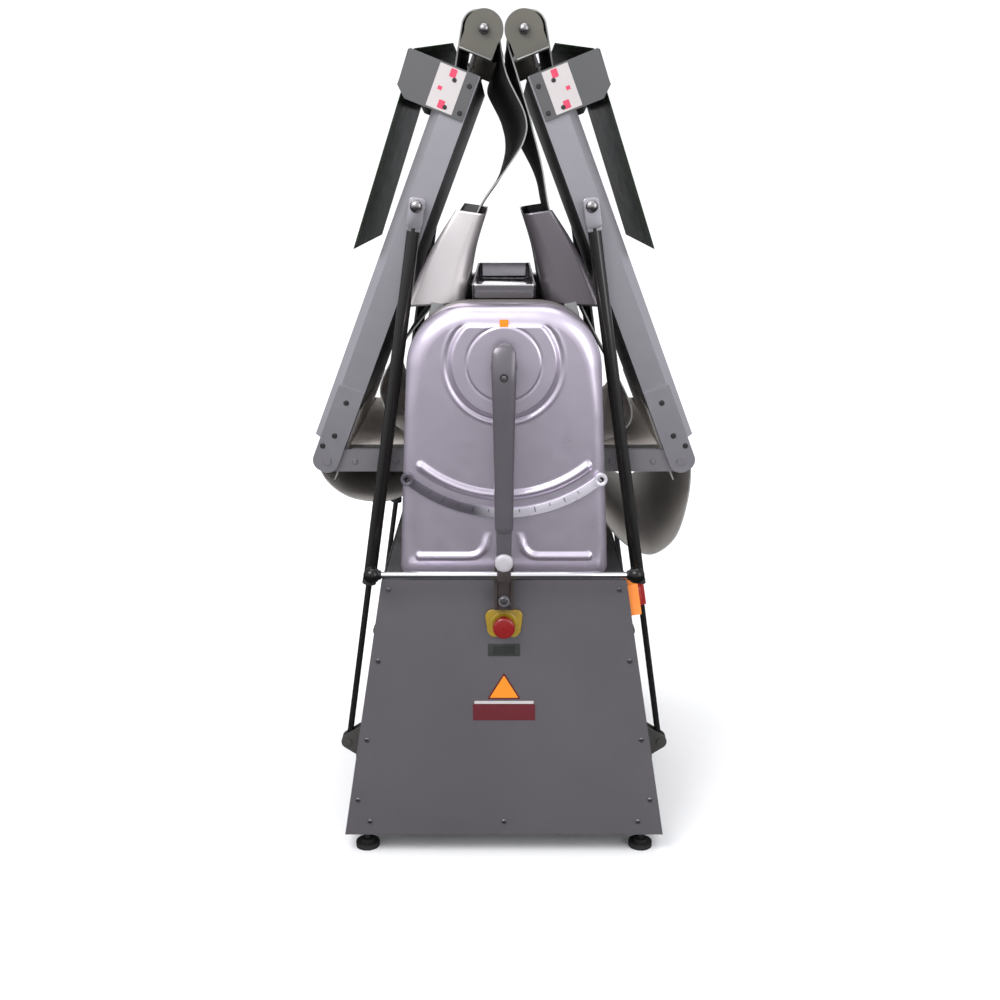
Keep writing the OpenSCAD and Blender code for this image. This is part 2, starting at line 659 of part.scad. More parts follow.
pan_t = 1.5;
module pan(side) place() color("darkslategray") handed(side) on_pan()
    along_y(-pan_half, pan_half) polygon(strip([[0, 0], [pan_len, 0], [pan_len + 31, 64]], pan_t));

module end_roller(side) place() color("silver") handed(side) on_table() {
    rod_y(table_len, 0, end_roller_r, -rail_in, rail_in);
    rod_y(table_len, 0, 8, -rail_y + 1, rail_y - 1);
}

// ---- Conveyor belts ----
// Slack of a folded belt's working side, from its end roller down to the fixed bed
belt_exit_deg = 60;
belt_mid_r = end_roller_r + gap + belt_t / 2;
function off_roller(d) = on_fold(table_len + belt_mid_r * cos(belt_exit_deg) - d * sin(belt_exit_deg),
    belt_mid_r * sin(belt_exit_deg) + d * cos(belt_exit_deg));
slack_left = [off_roller(-1), off_roller(25), [-4, 1510], [-38, 1440], [-36, 1395], [-3, 1342], [45, 1276],
    [75, 1200], [120, 1115], [200, 1010], [238, 942], [236, 900], [219, 865], [180, 836], [150, 822]];
slack_right = [off_roller(-1), off_roller(25), [26, 1510], [48, 1440], [54, 1415], [70, 1350], [85, 1270],
    [114, 1180], [150, 1090], [200, 990], [240, 915], [250, 875], [232, 845], [190, 827], [150, 822]];
// Slack of the return side, hanging under the hinge
loop_left = [[drive_x, drive_z - drive_r - belt_t / 2], [130, 768], [175, 735], [215, 712], [256, 705],
    [310, 715], [350, 745], [367, 785], [362, 814]];
loop_right = [[drive_x, drive_z - drive_r - belt_t / 2], [125, 768], [170, 715], [220, 640], [262, 604],
    [303, 595], [345, 632], [366, 710], [369, 780], [362, 814]];

module belt_wrap(x, z, r, from, to) translate([x, 0, z]) rotate([90, 0, 0]) rotate([0, 0, from])
    translate([0, 0, -belt_half]) rotate_extrude(angle = to - from, $fn = 96)
        translate([r, 0]) square([belt_t, 2 * belt_half]);
module belt(side) place() color("whitesmoke") handed(side) {
    path = side == LEFT ? slack_left : slack_right;
    along_y(-belt_half, belt_half) polygon(strip(spline(path, 5), belt_t));
    on_table() {
        belt_wrap(table_len, 0, end_roller_r + gap, -90, belt_exit_deg);
        translate([20, -belt_half, -end_roller_r - gap - belt_t]) cube([table_len - 20, 2 * belt_half, belt_t]);
    }
}
module belt_loop(side) place() color("whitesmoke") handed(side) {
    path = side == LEFT ? loop_left : loop_right;
    along_y(-belt_half, belt_half) polygon(strip(spline(path, 6), belt_t));
    belt_wrap(drive_x, drive_z, drive_r + gap, 90, 270);
    translate([drive_x, -belt_half, drive_z + drive_r + gap]) cube([146 - drive_x, 2 * belt_half, belt_t]);
}

// ---- Struts ----
module strut_tubes(side) place() color("dimgray") handed(side) front_and_rear()
    translate([strut_top[0], -strut_y, strut_top[1]]) rotate([0, 180 - strut_deg, 0]) difference() {
        union() {
            rod_y(0, 0, 14, -5, 5);
            translate([8, 0, 0]) rotate([0, 90, 0]) cylinder(r = tube_r, h = tube_len - 8);
        }
        rod_y(0, 0, strut_pin_r + run_fit, -20, 20);
        translate([40, 0, 0]) rotate([0, 90, 0]) cylinder(r = tube_bore_r, h = tube_len);
    }
module strut_rods(side) place() color("silver") handed(side) front_and_rear()
    translate([strut_foot_x, -strut_y, strut_foot_z]) rotate([0, -strut_deg, 0]) difference() {
        union() {
            rod_y(0, 0, 12, -5, 5);
            rotate([0, 90, 0]) cylinder(r = rod_r, h = rod_len);
        }
        rod_y(0, 0, 6 + run_fit, -20, 20);
    }

base_frame();
levelling_feet();
front_panel();
rear_panel();
side_panels();
panel_screws();
head_frame();
front_housing();
rear_housing();
scale_track();
roller_bearings();
lower_scraper();
centre_bed();
hinge_brackets();
strut_lugs();
flour_tray();
estop_collar();
switch_box();
motor();
cable_gland();
v_belt();
drive_chain();
gap_handle();
cam_shaft();
upper_carriage();
carriage_springs();
upper_roller();
lower_roller();
motor_pulley();
drive_roller(LEFT);  // drive_roller_left
drive_roller(RIGHT);  // drive_roller_right
reverse_lever();
ball_knobs();
estop_button();
switch_knob();
guard(LEFT);  // guard_left
guard(RIGHT);  // guard_right
rails(LEFT);  // rails_left
rails(RIGHT);  // rails_right
bed(LEFT);  // bed_left
bed(RIGHT);  // bed_right
tensioner_plates(LEFT);  // tensioner_plates_left
tensioner_plates(RIGHT);  // tensioner_plates_right
table_screws(LEFT);  // table_screws_left
table_screws(RIGHT);  // table_screws_right
pan_brackets(LEFT);  // pan_brackets_left
pan_brackets(RIGHT);  // pan_brackets_right
pan(LEFT);  // pan_left
pan(RIGHT);  // pan_right
end_roller(LEFT);  // end_roller_left
end_roller(RIGHT);  // end_roller_right
belt(LEFT);  // belt_left
belt(RIGHT);  // belt_right
belt_loop(LEFT);  // belt_loop_left
belt_loop(RIGHT);  // belt_loop_right
strut_tubes(LEFT);  // strut_tubes_left
strut_tubes(RIGHT);  // strut_tubes_right
strut_rods(LEFT);  // strut_rods_left
strut_rods(RIGHT);  // strut_rods_right
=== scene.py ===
import math

import bmesh
import bpy
import numpy as np
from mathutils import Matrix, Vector


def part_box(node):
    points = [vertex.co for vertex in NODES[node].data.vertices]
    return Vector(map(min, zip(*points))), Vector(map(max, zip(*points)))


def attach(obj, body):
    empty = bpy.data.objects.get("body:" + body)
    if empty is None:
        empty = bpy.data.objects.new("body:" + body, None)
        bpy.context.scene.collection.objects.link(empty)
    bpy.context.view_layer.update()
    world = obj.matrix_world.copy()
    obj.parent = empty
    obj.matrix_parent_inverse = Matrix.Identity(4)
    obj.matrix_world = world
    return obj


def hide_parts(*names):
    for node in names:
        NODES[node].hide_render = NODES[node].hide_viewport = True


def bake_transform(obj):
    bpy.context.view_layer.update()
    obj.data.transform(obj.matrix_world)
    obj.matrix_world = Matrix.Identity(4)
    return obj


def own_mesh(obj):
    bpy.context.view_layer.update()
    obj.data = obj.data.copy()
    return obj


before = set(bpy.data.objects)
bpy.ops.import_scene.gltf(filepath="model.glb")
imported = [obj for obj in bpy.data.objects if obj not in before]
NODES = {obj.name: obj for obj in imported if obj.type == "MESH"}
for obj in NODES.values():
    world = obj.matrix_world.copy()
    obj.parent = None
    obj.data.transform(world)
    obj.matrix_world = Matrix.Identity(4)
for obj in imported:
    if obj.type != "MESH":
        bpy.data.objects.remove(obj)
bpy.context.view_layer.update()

# ---- The machine's layout, in millimetres, as part.scad has it ----
Y_SHIFT = 28.5                       # machine y to frame y
FRONT = -400.0                       # front plane of the base panel and the casting
HINGE_X, HINGE_Z = 344.6, 795.0      # table hinge pin
FOLD = math.radians(111.3)           # table's angle when folded up
CAM_Z = 1001.0                       # gap handle's pivot
LEVER_Z, LEVER_BAR_Z = 552.0, 608.0  # reverse lever's pivot and its cross bar
STOP_Z = 498.0                       # emergency stop
STRUT_TOP = (518.0, -4.0)            # strut's top pin, along the table and across it
STRUT_FOOT = (317.0, 215.0)
END_ROLLER_L = 850.0                 # end roller's distance from the hinge
DRIVE_X, DRIVE_Z, DRIVE_R = 72.0, 799.0, 20.0
LEFT, RIGHT = -1, 1
SIDES = {LEFT: "left", RIGHT: "right"}


def metres(p):
    """Machine millimetres as a point of the frame, in metres."""
    return (p[0] / 1000, (p[1] + Y_SHIFT) / 1000, p[2] / 1000)


def on_table(l, p):
    """A point of the folded right-hand table (along, belt side) as machine x and z."""
    return (HINGE_X + l * math.cos(FOLD) - p * math.sin(FOLD),
            HINGE_Z + l * math.sin(FOLD) + p * math.cos(FOLD))


# ---- Materials ----
def node(tree, kind, inputs=None, **properties):
    """A shader node whose inputs are given as numbers or as other nodes' outputs."""
    made = tree.nodes.new("ShaderNode" + kind)
    for key, value in properties.items():
        setattr(made, key, value)
    for key, value in (inputs or {}).items():
        if isinstance(value, bpy.types.NodeSocket):
            tree.links.new(value, made.inputs[key])
        else:
            made.inputs[key].default_value = value
    return made


def principled(name, **numbers):
    """A new material, its node tree and its shader, with the shader's plain numbers set."""
    m = bpy.data.materials.new(name)
    m.use_nodes = True
    b = m.node_tree.nodes["Principled BSDF"]
    for key, value in numbers.items():
        b.inputs[key.replace("_", " ")].default_value = value
    return m, m.node_tree, b


def shader(name, color, metallic=0.0, rough=0.5, coat=0.0, coat_rough=0.1, specular=0.5, tint=0.08,
           tint_scale=6.0, rough_spread=0.08, grain=0.0, grain_scale=600.0, grain_stretch=(1, 1, 1),
           second=None, second_amount=0.0, painted_reflection_span=None):
    """Principled material with large-scale colour drift, roughness drift and fine bump.

    With a span of two x positions, the colour also goes from second to color between them: a painted
    reflection, dark at one end and bright at the other."""
    m, t, b = principled(name, Metallic=metallic, Coat_Weight=coat, Coat_Roughness=coat_rough,
                         Specular_IOR_Level=specular)
    place = node(t, "TexCoord").outputs["Object"]
    drift = node(t, "TexNoise", {"Scale": tint_scale, "Detail": 5, "Vector": place}).outputs["Fac"]
    # painted reflection: the colour darkens towards one end of an x span
    if painted_reflection_span:
        x = node(t, "SeparateXYZ", {"Vector": place}).outputs["X"]
        fade = node(t, "MapRange", {"From Min": painted_reflection_span[0], "From Max": painted_reflection_span[1],
                                    "Value": x}).outputs["Result"]
        blur = node(t, "Math", {0: drift, 1: 0.5, 2: fade}, operation="MULTIPLY_ADD").outputs["Value"]
        drift = node(t, "Math", {0: blur, 1: 0.25}, operation="SUBTRACT").outputs["Value"]
    low = [max(0.0, c * (1 - tint)) for c in color]
    high = [min(1.0, c * (1 + tint)) for c in color]
    if second:
        low = [c * (1 - second_amount) + s * second_amount for c, s in zip(color, second)]
    ramp = node(t, "ValToRGB", {"Fac": drift})
    for stop, position, tone in zip(ramp.color_ramp.elements, (0.3, 0.7), (low, high)):
        stop.position = position
        stop.color = (*tone, 1)
    t.links.new(ramp.outputs["Color"], b.inputs["Base Color"])
    wear = node(t, "TexNoise", {"Scale": 38, "Detail": 6, "Vector": place}).outputs["Fac"]
    spread = node(t, "MapRange", {"To Min": max(0.02, rough - rough_spread),
                                  "To Max": min(1.0, rough + rough_spread), "Value": wear})
    t.links.new(spread.outputs["Result"], b.inputs["Roughness"])
    if grain:
        stretch = node(t, "Mapping", {"Scale": grain_stretch, "Vector": place}).outputs["Vector"]
        fine = node(t, "TexNoise", {"Scale": grain_scale, "Detail": 3, "Vector": stretch}).outputs["Fac"]
        bump = node(t, "Bump", {"Distance": 0.0006, "Strength": grain, "Height": fine})
        t.links.new(bump.outputs["Normal"], b.inputs["Normal"])
    return m


def woven(name, painted_shade_colour, painted_light_colour, rough=0.7, scale=900.0):
    """Belt cloth: a weave of two crossed waves, darker high up and lighter the lower it hangs: painted shade
    above, painted light on the hanging loops.
    """
    m, t, b = principled(name, Roughness=rough, Specular_IOR_Level=0.25)
    place = node(t, "TexCoord").outputs["Object"]
    wave = {"Scale": scale / 6.283, "Distortion": 0.6, "Vector": place}
    threads = [node(t, "TexWave", wave, wave_type="BANDS", bands_direction=axis).outputs["Fac"]
               for axis in ("Y", "DIAGONAL")]
    cloth = node(t, "Math", {0: threads[0], 1: threads[1]}, operation="MULTIPLY").outputs["Value"]
    # painted shade high up fading into painted light low down, by height
    up = node(t, "SeparateXYZ", {"Vector": place}).outputs["Z"]
    painted_light_fade = node(t, "MapRange", {"From Min": 1.15, "From Max": 0.80, "Value": up}).outputs["Result"]
    mixed = node(t, "Mix", data_type="RGBA")
    mixed.inputs["A"].default_value = (*painted_shade_colour, 1)
    mixed.inputs["B"].default_value = (*painted_light_colour, 1)
    t.links.new(painted_light_fade, mixed.inputs["Factor"])
    stain = node(t, "TexNoise", {"Scale": 5, "Detail": 6, "Vector": place}).outputs["Fac"]
    shade = node(t, "MapRange", {"To Min": 0.78, "To Max": 1.12, "Value": stain}).outputs["Result"]
    stained = node(t, "VectorMath", {0: mixed.outputs["Result"], "Scale": shade}, operation="SCALE")
    t.links.new(stained.outputs["Vector"], b.inputs["Base Color"])
    bump = node(t, "Bump", {"Strength": 0.25, "Distance": 0.0004, "Height": cloth})
    t.links.new(bump.outputs["Normal"], b.inputs["Normal"])
    return m


M = {
    "head": shader("head_casting_paint", (0.62, 0.56, 0.665), metallic=0.85, rough=0.31, coat=0.2,
                   coat_rough=0.25, tint=0.05, grain=0.07, grain_scale=420),
    # rim: a darker copy of the casting's paint for its sides, painted shade
    "rim": shader("casting_side_painted_shade", (0.17, 0.155, 0.15), metallic=0.3, rough=0.5, tint=0.08, grain=0.07,
                  grain_scale=420),
    "head_dark": shader("handle_casting_paint", (0.122, 0.112, 0.128), metallic=0.55, rough=0.32, coat=0.2,
                        coat_rough=0.2, tint=0.06, grain=0.07, grain_scale=460),
    "tip": shader("handle_tip_paint", (0.46, 0.435, 0.47), metallic=0.4, rough=0.5, tint=0.06, grain=0.2,
                  grain_scale=520),
    "panel": shader("panel_paint", (0.094, 0.087, 0.096), metallic=0.2, rough=0.42, coat=0.06,
                    coat_rough=0.3, tint=0.07, tint_scale=3.5, grain=0.10, grain_scale=900,
                    rough_spread=0.07),
    "frame": shader("frame_paint", (0.05, 0.05, 0.055), rough=0.6, tint=0.15, grain=0.15),
    "rail": shader("rail_paint", (0.40, 0.385, 0.42), metallic=0.9, rough=0.38, tint=0.04, grain=0.04,
                   grain_scale=700, rough_spread=0.06),
    "bracket": shader("bracket_paint", (0.165, 0.158, 0.17), metallic=0.4, rough=0.45, tint=0.06,
                      grain=0.08, grain_scale=800),
    "plate": shader("end_plate_paint", (0.135, 0.129, 0.110), metallic=0.6, rough=0.4, tint=0.08, grain=0.1,
                    grain_scale=700, second=(0.10, 0.097, 0.083), second_amount=0.7),
    # bed: steel darker than bare steel, painted shade for the shadow between belts and rails
    "bed": shader("bed_sheet_painted_shade", (0.30, 0.30, 0.30), metallic=1.0, rough=0.38, tint=0.05, grain=0.04,
                  grain_scale=260, grain_stretch=(1, 12, 1)),
    # track: dark at the left and bright at the right is a painted reflection
    "track": shader("track_sheet_painted_reflection", (0.66, 0.63, 0.70), metallic=0.55, rough=0.3, tint=0.05, grain=0.05,
                    grain_scale=300, grain_stretch=(1, 1, 9), second=(0.09, 0.08, 0.10), second_amount=0.95,
                    painted_reflection_span=(-0.09, 0.06)),
    # pan: dark green stands for the reflection of dark green surroundings, a painted reflection
    "pan": shader("pan_sheet_painted_reflection", (0.022, 0.034, 0.017), metallic=0.0, rough=0.24, specular=0.05, tint=0.25,
                  tint_scale=3.0, grain=0.02, grain_scale=200, grain_stretch=(1, 10, 1),
                  second=(0.008, 0.012, 0.006), second_amount=0.7),
    "chrome": shader("hard_chrome", (0.78, 0.77, 0.79), metallic=1.0, rough=0.09, tint=0.02, grain=0.02,
                     grain_scale=500, rough_spread=0.03),
    "dark_steel": shader("blackened_rod", (0.06, 0.06, 0.062), metallic=0.9, rough=0.25, tint=0.1,
                         grain=0.04, grain_scale=500, grain_stretch=(9, 9, 1)),
    "guard_left": shader("satin_guard", (0.86, 0.815, 0.815), metallic=0.85, rough=0.42, tint=0.03,
                         grain=0.01, grain_scale=260, grain_stretch=(1, 14, 1), rough_spread=0.04),
    # right guard: the same steel as the left one, made dark as painted shade
    "guard_right": shader("duller_guard", (0.19, 0.172, 0.19), metallic=0.85, rough=0.38, tint=0.03,
                          grain=0.01, grain_scale=260, grain_stretch=(1, 14, 1), rough_spread=0.04),
    "tray": shader("polished_tray", (0.31, 0.298, 0.32), metallic=1.0, rough=0.2, tint=0.05, grain=0.02,
                   grain_scale=260, grain_stretch=(1, 14, 1), rough_spread=0.05),
    "pan_bracket": shader("pan_bracket_paint", (0.09, 0.09, 0.092), metallic=0.3, rough=0.45, tint=0.06,
                          grain=0.08, grain_scale=800),
    "dark_screw": shader("blackened_screw", (0.05, 0.048, 0.05), metallic=0.7, rough=0.3, tint=0.1,
                         grain=0.1, grain_scale=900),
    "machined": shader("machined_steel", (0.40, 0.40, 0.41), metallic=1.0, rough=0.3, tint=0.06, grain=0.08,
                       grain_scale=500),
    "screw": shader("plated_steel", (0.30, 0.29, 0.30), metallic=1.0, rough=0.3, tint=0.1, grain=0.1,
                    grain_scale=900),
    "black_tube": shader("black_gloss_tube", (0.011, 0.010, 0.010), metallic=0.3, rough=0.2, coat=0.3,
                         coat_rough=0.1, tint=0.2, grain=0.03),
    "iron": shader("dark_casting", (0.045, 0.043, 0.040), rough=0.62, tint=0.2, grain=0.3, grain_scale=700),
    "bronze": shader("lever_dark_paint", (0.055, 0.042, 0.040), metallic=0.4, rough=0.4, coat=0.3,
                     coat_rough=0.2, tint=0.18, grain=0.12, grain_scale=500),
    "ball": shader("black_knob", (0.004, 0.004, 0.004), rough=0.22, specular=0.35, tint=0.2, grain=0.02),
    "rubber": shader("black_rubber", (0.02, 0.02, 0.02), rough=0.75, specular=0.3, tint=0.2, grain=0.25,
                     grain_scale=1200),
    "yellow": shader("yellow_moulding", (0.27, 0.175, 0.007), rough=0.34, coat=0.2, tint=0.05, grain=0.08,
                     grain_scale=1100),
    "red": shader("red_moulding", (0.18, 0.0015, 0.002), rough=0.3, coat=0.3, tint=0.06, grain=0.06,
                  grain_scale=1100),
    "dark_red": shader("knob_moulding", (0.33, 0.012, 0.012), rough=0.3, coat=0.3, tint=0.08, grain=0.06,
                       grain_scale=1100),
    "orange": shader("orange_moulding", (0.85, 0.24, 0.035), rough=0.36, coat=0.2, tint=0.05, grain=0.08,
                     grain_scale=1100),
    "motor": shader("motor_paint", (0.03, 0.06, 0.12), rough=0.45, tint=0.1, grain=0.15),
    "label_grey": shader("plain_grey_plate", (0.030, 0.034, 0.032), rough=0.5, specular=0.25, tint=0.15,
                         grain=0.06),
    "label_dark": shader("dark_plate_inlay", (0.018, 0.020, 0.018), rough=0.5, tint=0.15, grain=0.06),
    "amber": shader("amber_plate", (0.66, 0.21, 0.012), rough=0.45, specular=0.25, tint=0.05, grain=0.05),
    "maroon": shader("maroon_plate", (0.10, 0.010, 0.016), rough=0.5, specular=0.25, tint=0.1, grain=0.05),
    "pale": shader("pale_plate", (0.42, 0.39, 0.39), rough=0.5, specular=0.25, tint=0.06, grain=0.06),
    "rose": shader("rose_plate", (0.50, 0.05, 0.10), rough=0.5, specular=0.25, tint=0.08, grain=0.06),
    # belts: the dark colour high up is painted shade, the light colour low down is painted light on the
    # hanging loops
    "belt_top": woven("belt_working_side", (0.060, 0.060, 0.062), (0.50, 0.475, 0.45)),
    "belt_under": woven("belt_inner_side", (0.050, 0.051, 0.055), (0.90, 0.83, 0.78), rough=0.6, scale=700),
    "belt_edge": shader("belt_cut_edge", (0.26, 0.26, 0.25), rough=0.7, tint=0.08, grain=0.2,
                        grain_scale=1500),
}
NODE_MATERIAL = {
    "base_frame": "frame", "levelling_feet": "rubber", "front_panel": "panel", "rear_panel": "panel",
    "side_panels": "panel", "panel_screws": "screw", "head_frame": "frame", "roller_bearings": "machined",
    "lower_scraper": "bed", "centre_bed": "bed", "hinge_brackets": "bracket", "strut_lugs": "iron",
    "switch_box": "orange", "motor": "motor", "cable_gland": "rubber", "v_belt": "rubber",
    "drive_chain": "machined", "cam_shaft": "machined", "upper_carriage": "machined",
    "upper_roller": "chrome", "lower_roller": "chrome", "motor_pulley": "machined",
    "drive_roller_left": "machined", "drive_roller_right": "machined", "switch_knob": "dark_red"}
for word in SIDES.values():
    NODE_MATERIAL.update({
        f"rails_{word}": "rail", f"bed_{word}": "bed", f"tensioner_plates_{word}": "plate",
        f"table_screws_{word}": "dark_screw", f"pan_brackets_{word}": "pan_bracket",
        f"pan_{word}": "pan", f"end_roller_{word}": "chrome", f"strut_tubes_{word}": "black_tube",
        f"strut_rods_{word}": "dark_steel"})
for node_name, key in NODE_MATERIAL.items():
    mesh = NODES[node_name].data
    mesh.materials.clear()
    mesh.materials.append(M[key])


# ---- Mesh building ----
def piece(name, verts, faces, mats, body, slot=None, hides=(), bevel=0.0, sharp=35.0, indices=None):
    """A mesh in machine millimetres, as an object that rides on a CAD body if one is given.

    bevel is in millimetres and sharp, the angle that stays a hard edge, in degrees."""
    mesh = bpy.data.meshes.new(name)
    mesh.from_pydata([metres(v) for v in verts], [], faces)
    keys = mats if isinstance(mats, (list, tuple)) else [mats]
    for key in keys:
        mesh.materials.append(M[key])
    if indices is not None:
        mesh.polygons.foreach_set("material_index", indices)
    bm = bmesh.new()
    bm.from_mesh(mesh)
    bmesh.ops.remove_doubles(bm, verts=bm.verts, dist=1e-6)
    bmesh.ops.recalc_face_normals(bm, faces=bm.faces)
    if bevel:
        corner = math.radians(40)
        edges = [e for e in bm.edges if len(e.link_faces) == 2 and e.calc_face_angle(0) > corner]
        bmesh.ops.bevel(bm, geom=edges, offset=bevel / 1000, segments=3, profile=0.5, affect="EDGES",
                        clamp_overlap=True)
    bm.to_mesh(mesh)
    bm.free()
    for p in mesh.polygons:
        p.use_smooth = True
    mesh.set_sharp_from_angle(angle=math.radians(sharp))
    obj = bpy.data.objects.new(name, mesh)
    bpy.context.scene.collection.objects.link(obj)
    if body:
        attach(obj, body)
    if hides:
        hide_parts(*hides)
    return obj


def prism(outline, y0, y1):
    """An outline of (x, z) points, drawn from y0 to y1."""
    k = len(outline)
    verts = [(x, y0, z) for x, z in outline] + [(x, y1, z) for x, z in outline]
    faces = [tuple(range(k)), tuple(range(2 * k - 1, k - 1, -1))]
    faces += [(i, (i + 1) % k, k + (i + 1) % k, k + i) for i in range(k)]
    return verts, faces


def rounded(x0, z0, x1, z1, r, steps=6):
    """A rectangle with round corners."""
    centres = ((x1 - r, z1 - r), (x0 + r, z1 - r), (x0 + r, z0 + r), (x1 - r, z0 + r))
    out = []
    for (cx, cz), start in zip(centres, (0, 90, 180, 270)):
        for i in range(steps + 1):
            a = math.radians(start + 90 * i / steps)
            out.append((cx + r * math.cos(a), cz + r * math.sin(a)))
    return out


def ring_faces(rings, steps):
    """Quads between neighbouring rings of steps points each, and a face over each end."""
    faces = []
    for k in range(rings - 1):
        a, b = k * steps, (k + 1) * steps
        faces += [(a + i, a + (i + 1) % steps, b + (i + 1) % steps, b + i) for i in range(steps)]
    faces.append(tuple(range(steps - 1, -1, -1)))
    faces.append(tuple(range((rings - 1) * steps, rings * steps)))
    return faces


LEAST_R = 0.001  # a lathe's profile ends in a tiny ring, not in a point


def lathe(profile, centre, axis=(0, -1, 0), steps=48):
    """A profile of (radius, height) turned about an axis through centre."""
    w = Vector(axis).normalized()
    u = w.orthogonal().normalized()
    v = w.cross(u)
    c = Vector(centre)
    verts = []
    for r, h in profile:
        for i in range(steps):
            a = 2 * math.pi * i / steps
            verts.append(tuple(c + w * h + (u * math.cos(a) + v * math.sin(a)) * max(r, LEAST_R)))
    return verts, ring_faces(len(profile), steps)


def dome(r, h0, h1, edge):
    """Profile of a button: straight side, then a crown with a rounded edge."""
    out = [(r, h0), (r, h1 - edge)]
    for i in range(1, 9):
        a = math.radians(90 * i / 8)
        out.append((r - edge + edge * math.cos(a), h1 - edge + edge * 0.75 * math.sin(a)))
    out.append((r * 0.35, h1 - 0.05 * edge))
    out.append((0.0, h1))
    return out


def tube(points, r, steps=16, closed=False):
    """A round tube along points in machine millimetres."""
    pts = [Vector(p) for p in points]
    k = len(pts)
    verts = []
    up = None
    for i, p in enumerate(pts):
        a = pts[(i - 1) % k] if closed or i else p
        b = pts[(i + 1) % k] if closed or i < k - 1 else p
        d = (b - a).normalized()
        up = d.orthogonal().normalized() if up is None else (up - d * up.dot(d)).normalized()
        side = d.cross(up)
        for s in range(steps):
            t = 2 * math.pi * s / steps
            verts.append(tuple(p + up * r * math.cos(t) + side * r * math.sin(t)))
    faces = ring_faces(k, steps)
    if closed:
        last = (k - 1) * steps
        faces[-2:] = [(last + s, last + (s + 1) % steps, (s + 1) % steps, s) for s in range(steps)]
    return verts, faces


def joined(*parts):
    """Several parts as one."""
    verts, faces = [], []
    for v, f in parts:
        base = len(verts)
        verts += v
        faces += [tuple(i + base for i in face) for face in f]
    return verts, faces


def both_ends(part):
    """The part and its mirror image at the rear."""
    v, f = part
    return joined(part, ([(x, -y, z) for x, y, z in v], f))


def spline(points, steps):
    """Catmull-Rom curve through points."""
    p = [np.array(q, float) for q in points]
    p = [p[0]] + p + [p[-1]]
    out = []
    for i in range(1, len(p) - 2):
        a, b, c, d = p[i - 1:i + 3]
        for k in range(steps):
            t = k / steps
            out.append(0.5 * (2 * b + (c - a) * t + (2 * a - 5 * b + 4 * c - d) * t * t
                              + (3 * b - a - 3 * c + d) * t ** 3))
    out.append(p[-2])
    return np.array(out)


# ---- Head housings ----
HEAD_BOTTOM_Z, HEAD_TOP_Z, HEAD_CORNER = 586.3, 1108.0, 120.0
HEAD_BOTTOM_HALF, HEAD_TOP_HALF = 199.0, 181.0
EDGE_R, SHOULDER_EXTRA_R = 22.0, 13.0  # rounding of the front edge, and how much more at the shoulders
CORNER_R = 26.0                        # lower corners of the outline
DISC_R, DISC_H, GROOVE_R = 94.0, 6.5, 69.0
ARC_R, ARC_H, ARC_HALF = 247, 6.0, 9.5
RIB_H, RIB_HALF = 5.5, 8.5             # the lower ribs, which fade out between two heights
RIB_FADE = (652, 684)
SEAM_Z = 716                           # shallow groove across the rear casting
RIM_Y = -353.0                         # behind this the casting's side is darker: painted shade
SHELL_BACK = -302.0


def head_boundary(count):
    """Evenly spaced points round the housing's outline with their outward normals."""
    shoulder = HEAD_TOP_Z - HEAD_CORNER
    lean = math.atan2(HEAD_BOTTOM_HALF - HEAD_TOP_HALF, shoulder - HEAD_BOTTOM_Z)
    half = [(0.0, HEAD_BOTTOM_Z)]
    centre = (HEAD_BOTTOM_HALF - CORNER_R - 1.0, HEAD_BOTTOM_Z + CORNER_R)
    half += [(centre[0] + CORNER_R * math.cos(a), centre[1] + CORNER_R * math.sin(a))
             for a in np.linspace(-math.pi / 2, lean, 20)]
    half += [(HEAD_TOP_HALF - HEAD_CORNER + HEAD_CORNER * math.cos(a), shoulder + HEAD_CORNER * math.sin(a))
             for a in np.linspace(lean, math.pi / 2, 60)]
    half.append((0.0, HEAD_TOP_Z))
    ring = np.array(half + [(-x, z) for x, z in half[-2:0:-1]])
    closed = np.vstack([ring, ring[:1]])
    step = np.hypot(*np.diff(closed, axis=0).T)
    total = np.concatenate([[0], np.cumsum(step)])
    at = np.linspace(0, total[-1], count, endpoint=False)
    pts = np.stack([np.interp(at, total, closed[:, 0]), np.interp(at, total, closed[:, 1])], 1)
    along = np.roll(pts, -2, 0) - np.roll(pts, 2, 0)
    along /= np.linalg.norm(along, axis=1)[:, None]
    return pts, np.stack([along[:, 1], -along[:, 0]], 1)


def smooth(x, a, b):
    """0 below a, 1 above b, with a soft step between them."""
    t = np.clip((x - a) / (b - a), 0, 1)
    return t * t * (3 - 2 * t)


def capsule(x, z, path, r):
    """Height of a rounded rib along a path: 1 on its line, 0 outside."""
    best = np.full(x.shape, 1e9)
    for (ax, az), (bx, bz) in zip(path[:-1], path[1:]):
        dx, dz = bx - ax, bz - az
        t = np.clip(((x - ax) * dx + (z - az) * dz) / (dx * dx + dz * dz), 0, 1)
        best = np.minimum(best, np.hypot(x - ax - t * dx, z - az - t * dz))
    return np.clip(1 - (best / r) ** 2, 0, 1) ** 1.3


def round_cam(a, r):
    """Machine x and z at angle a from straight below the gap handle's pivot."""
    return (r * math.sin(a), CAM_Z - r * math.cos(a))


ARC_PATH = [round_cam(math.radians(a), ARC_R) for a in range(-39, 40, 3)]
RIB_TURN = [(64 - 30 * math.sin(a), 664 - 30 * math.cos(a)) for a in np.linspace(0.2, 1.35, 9)]
RIB_PATH = [(160, 634), (64, 634)] + RIB_TURN + [(31, 678)]


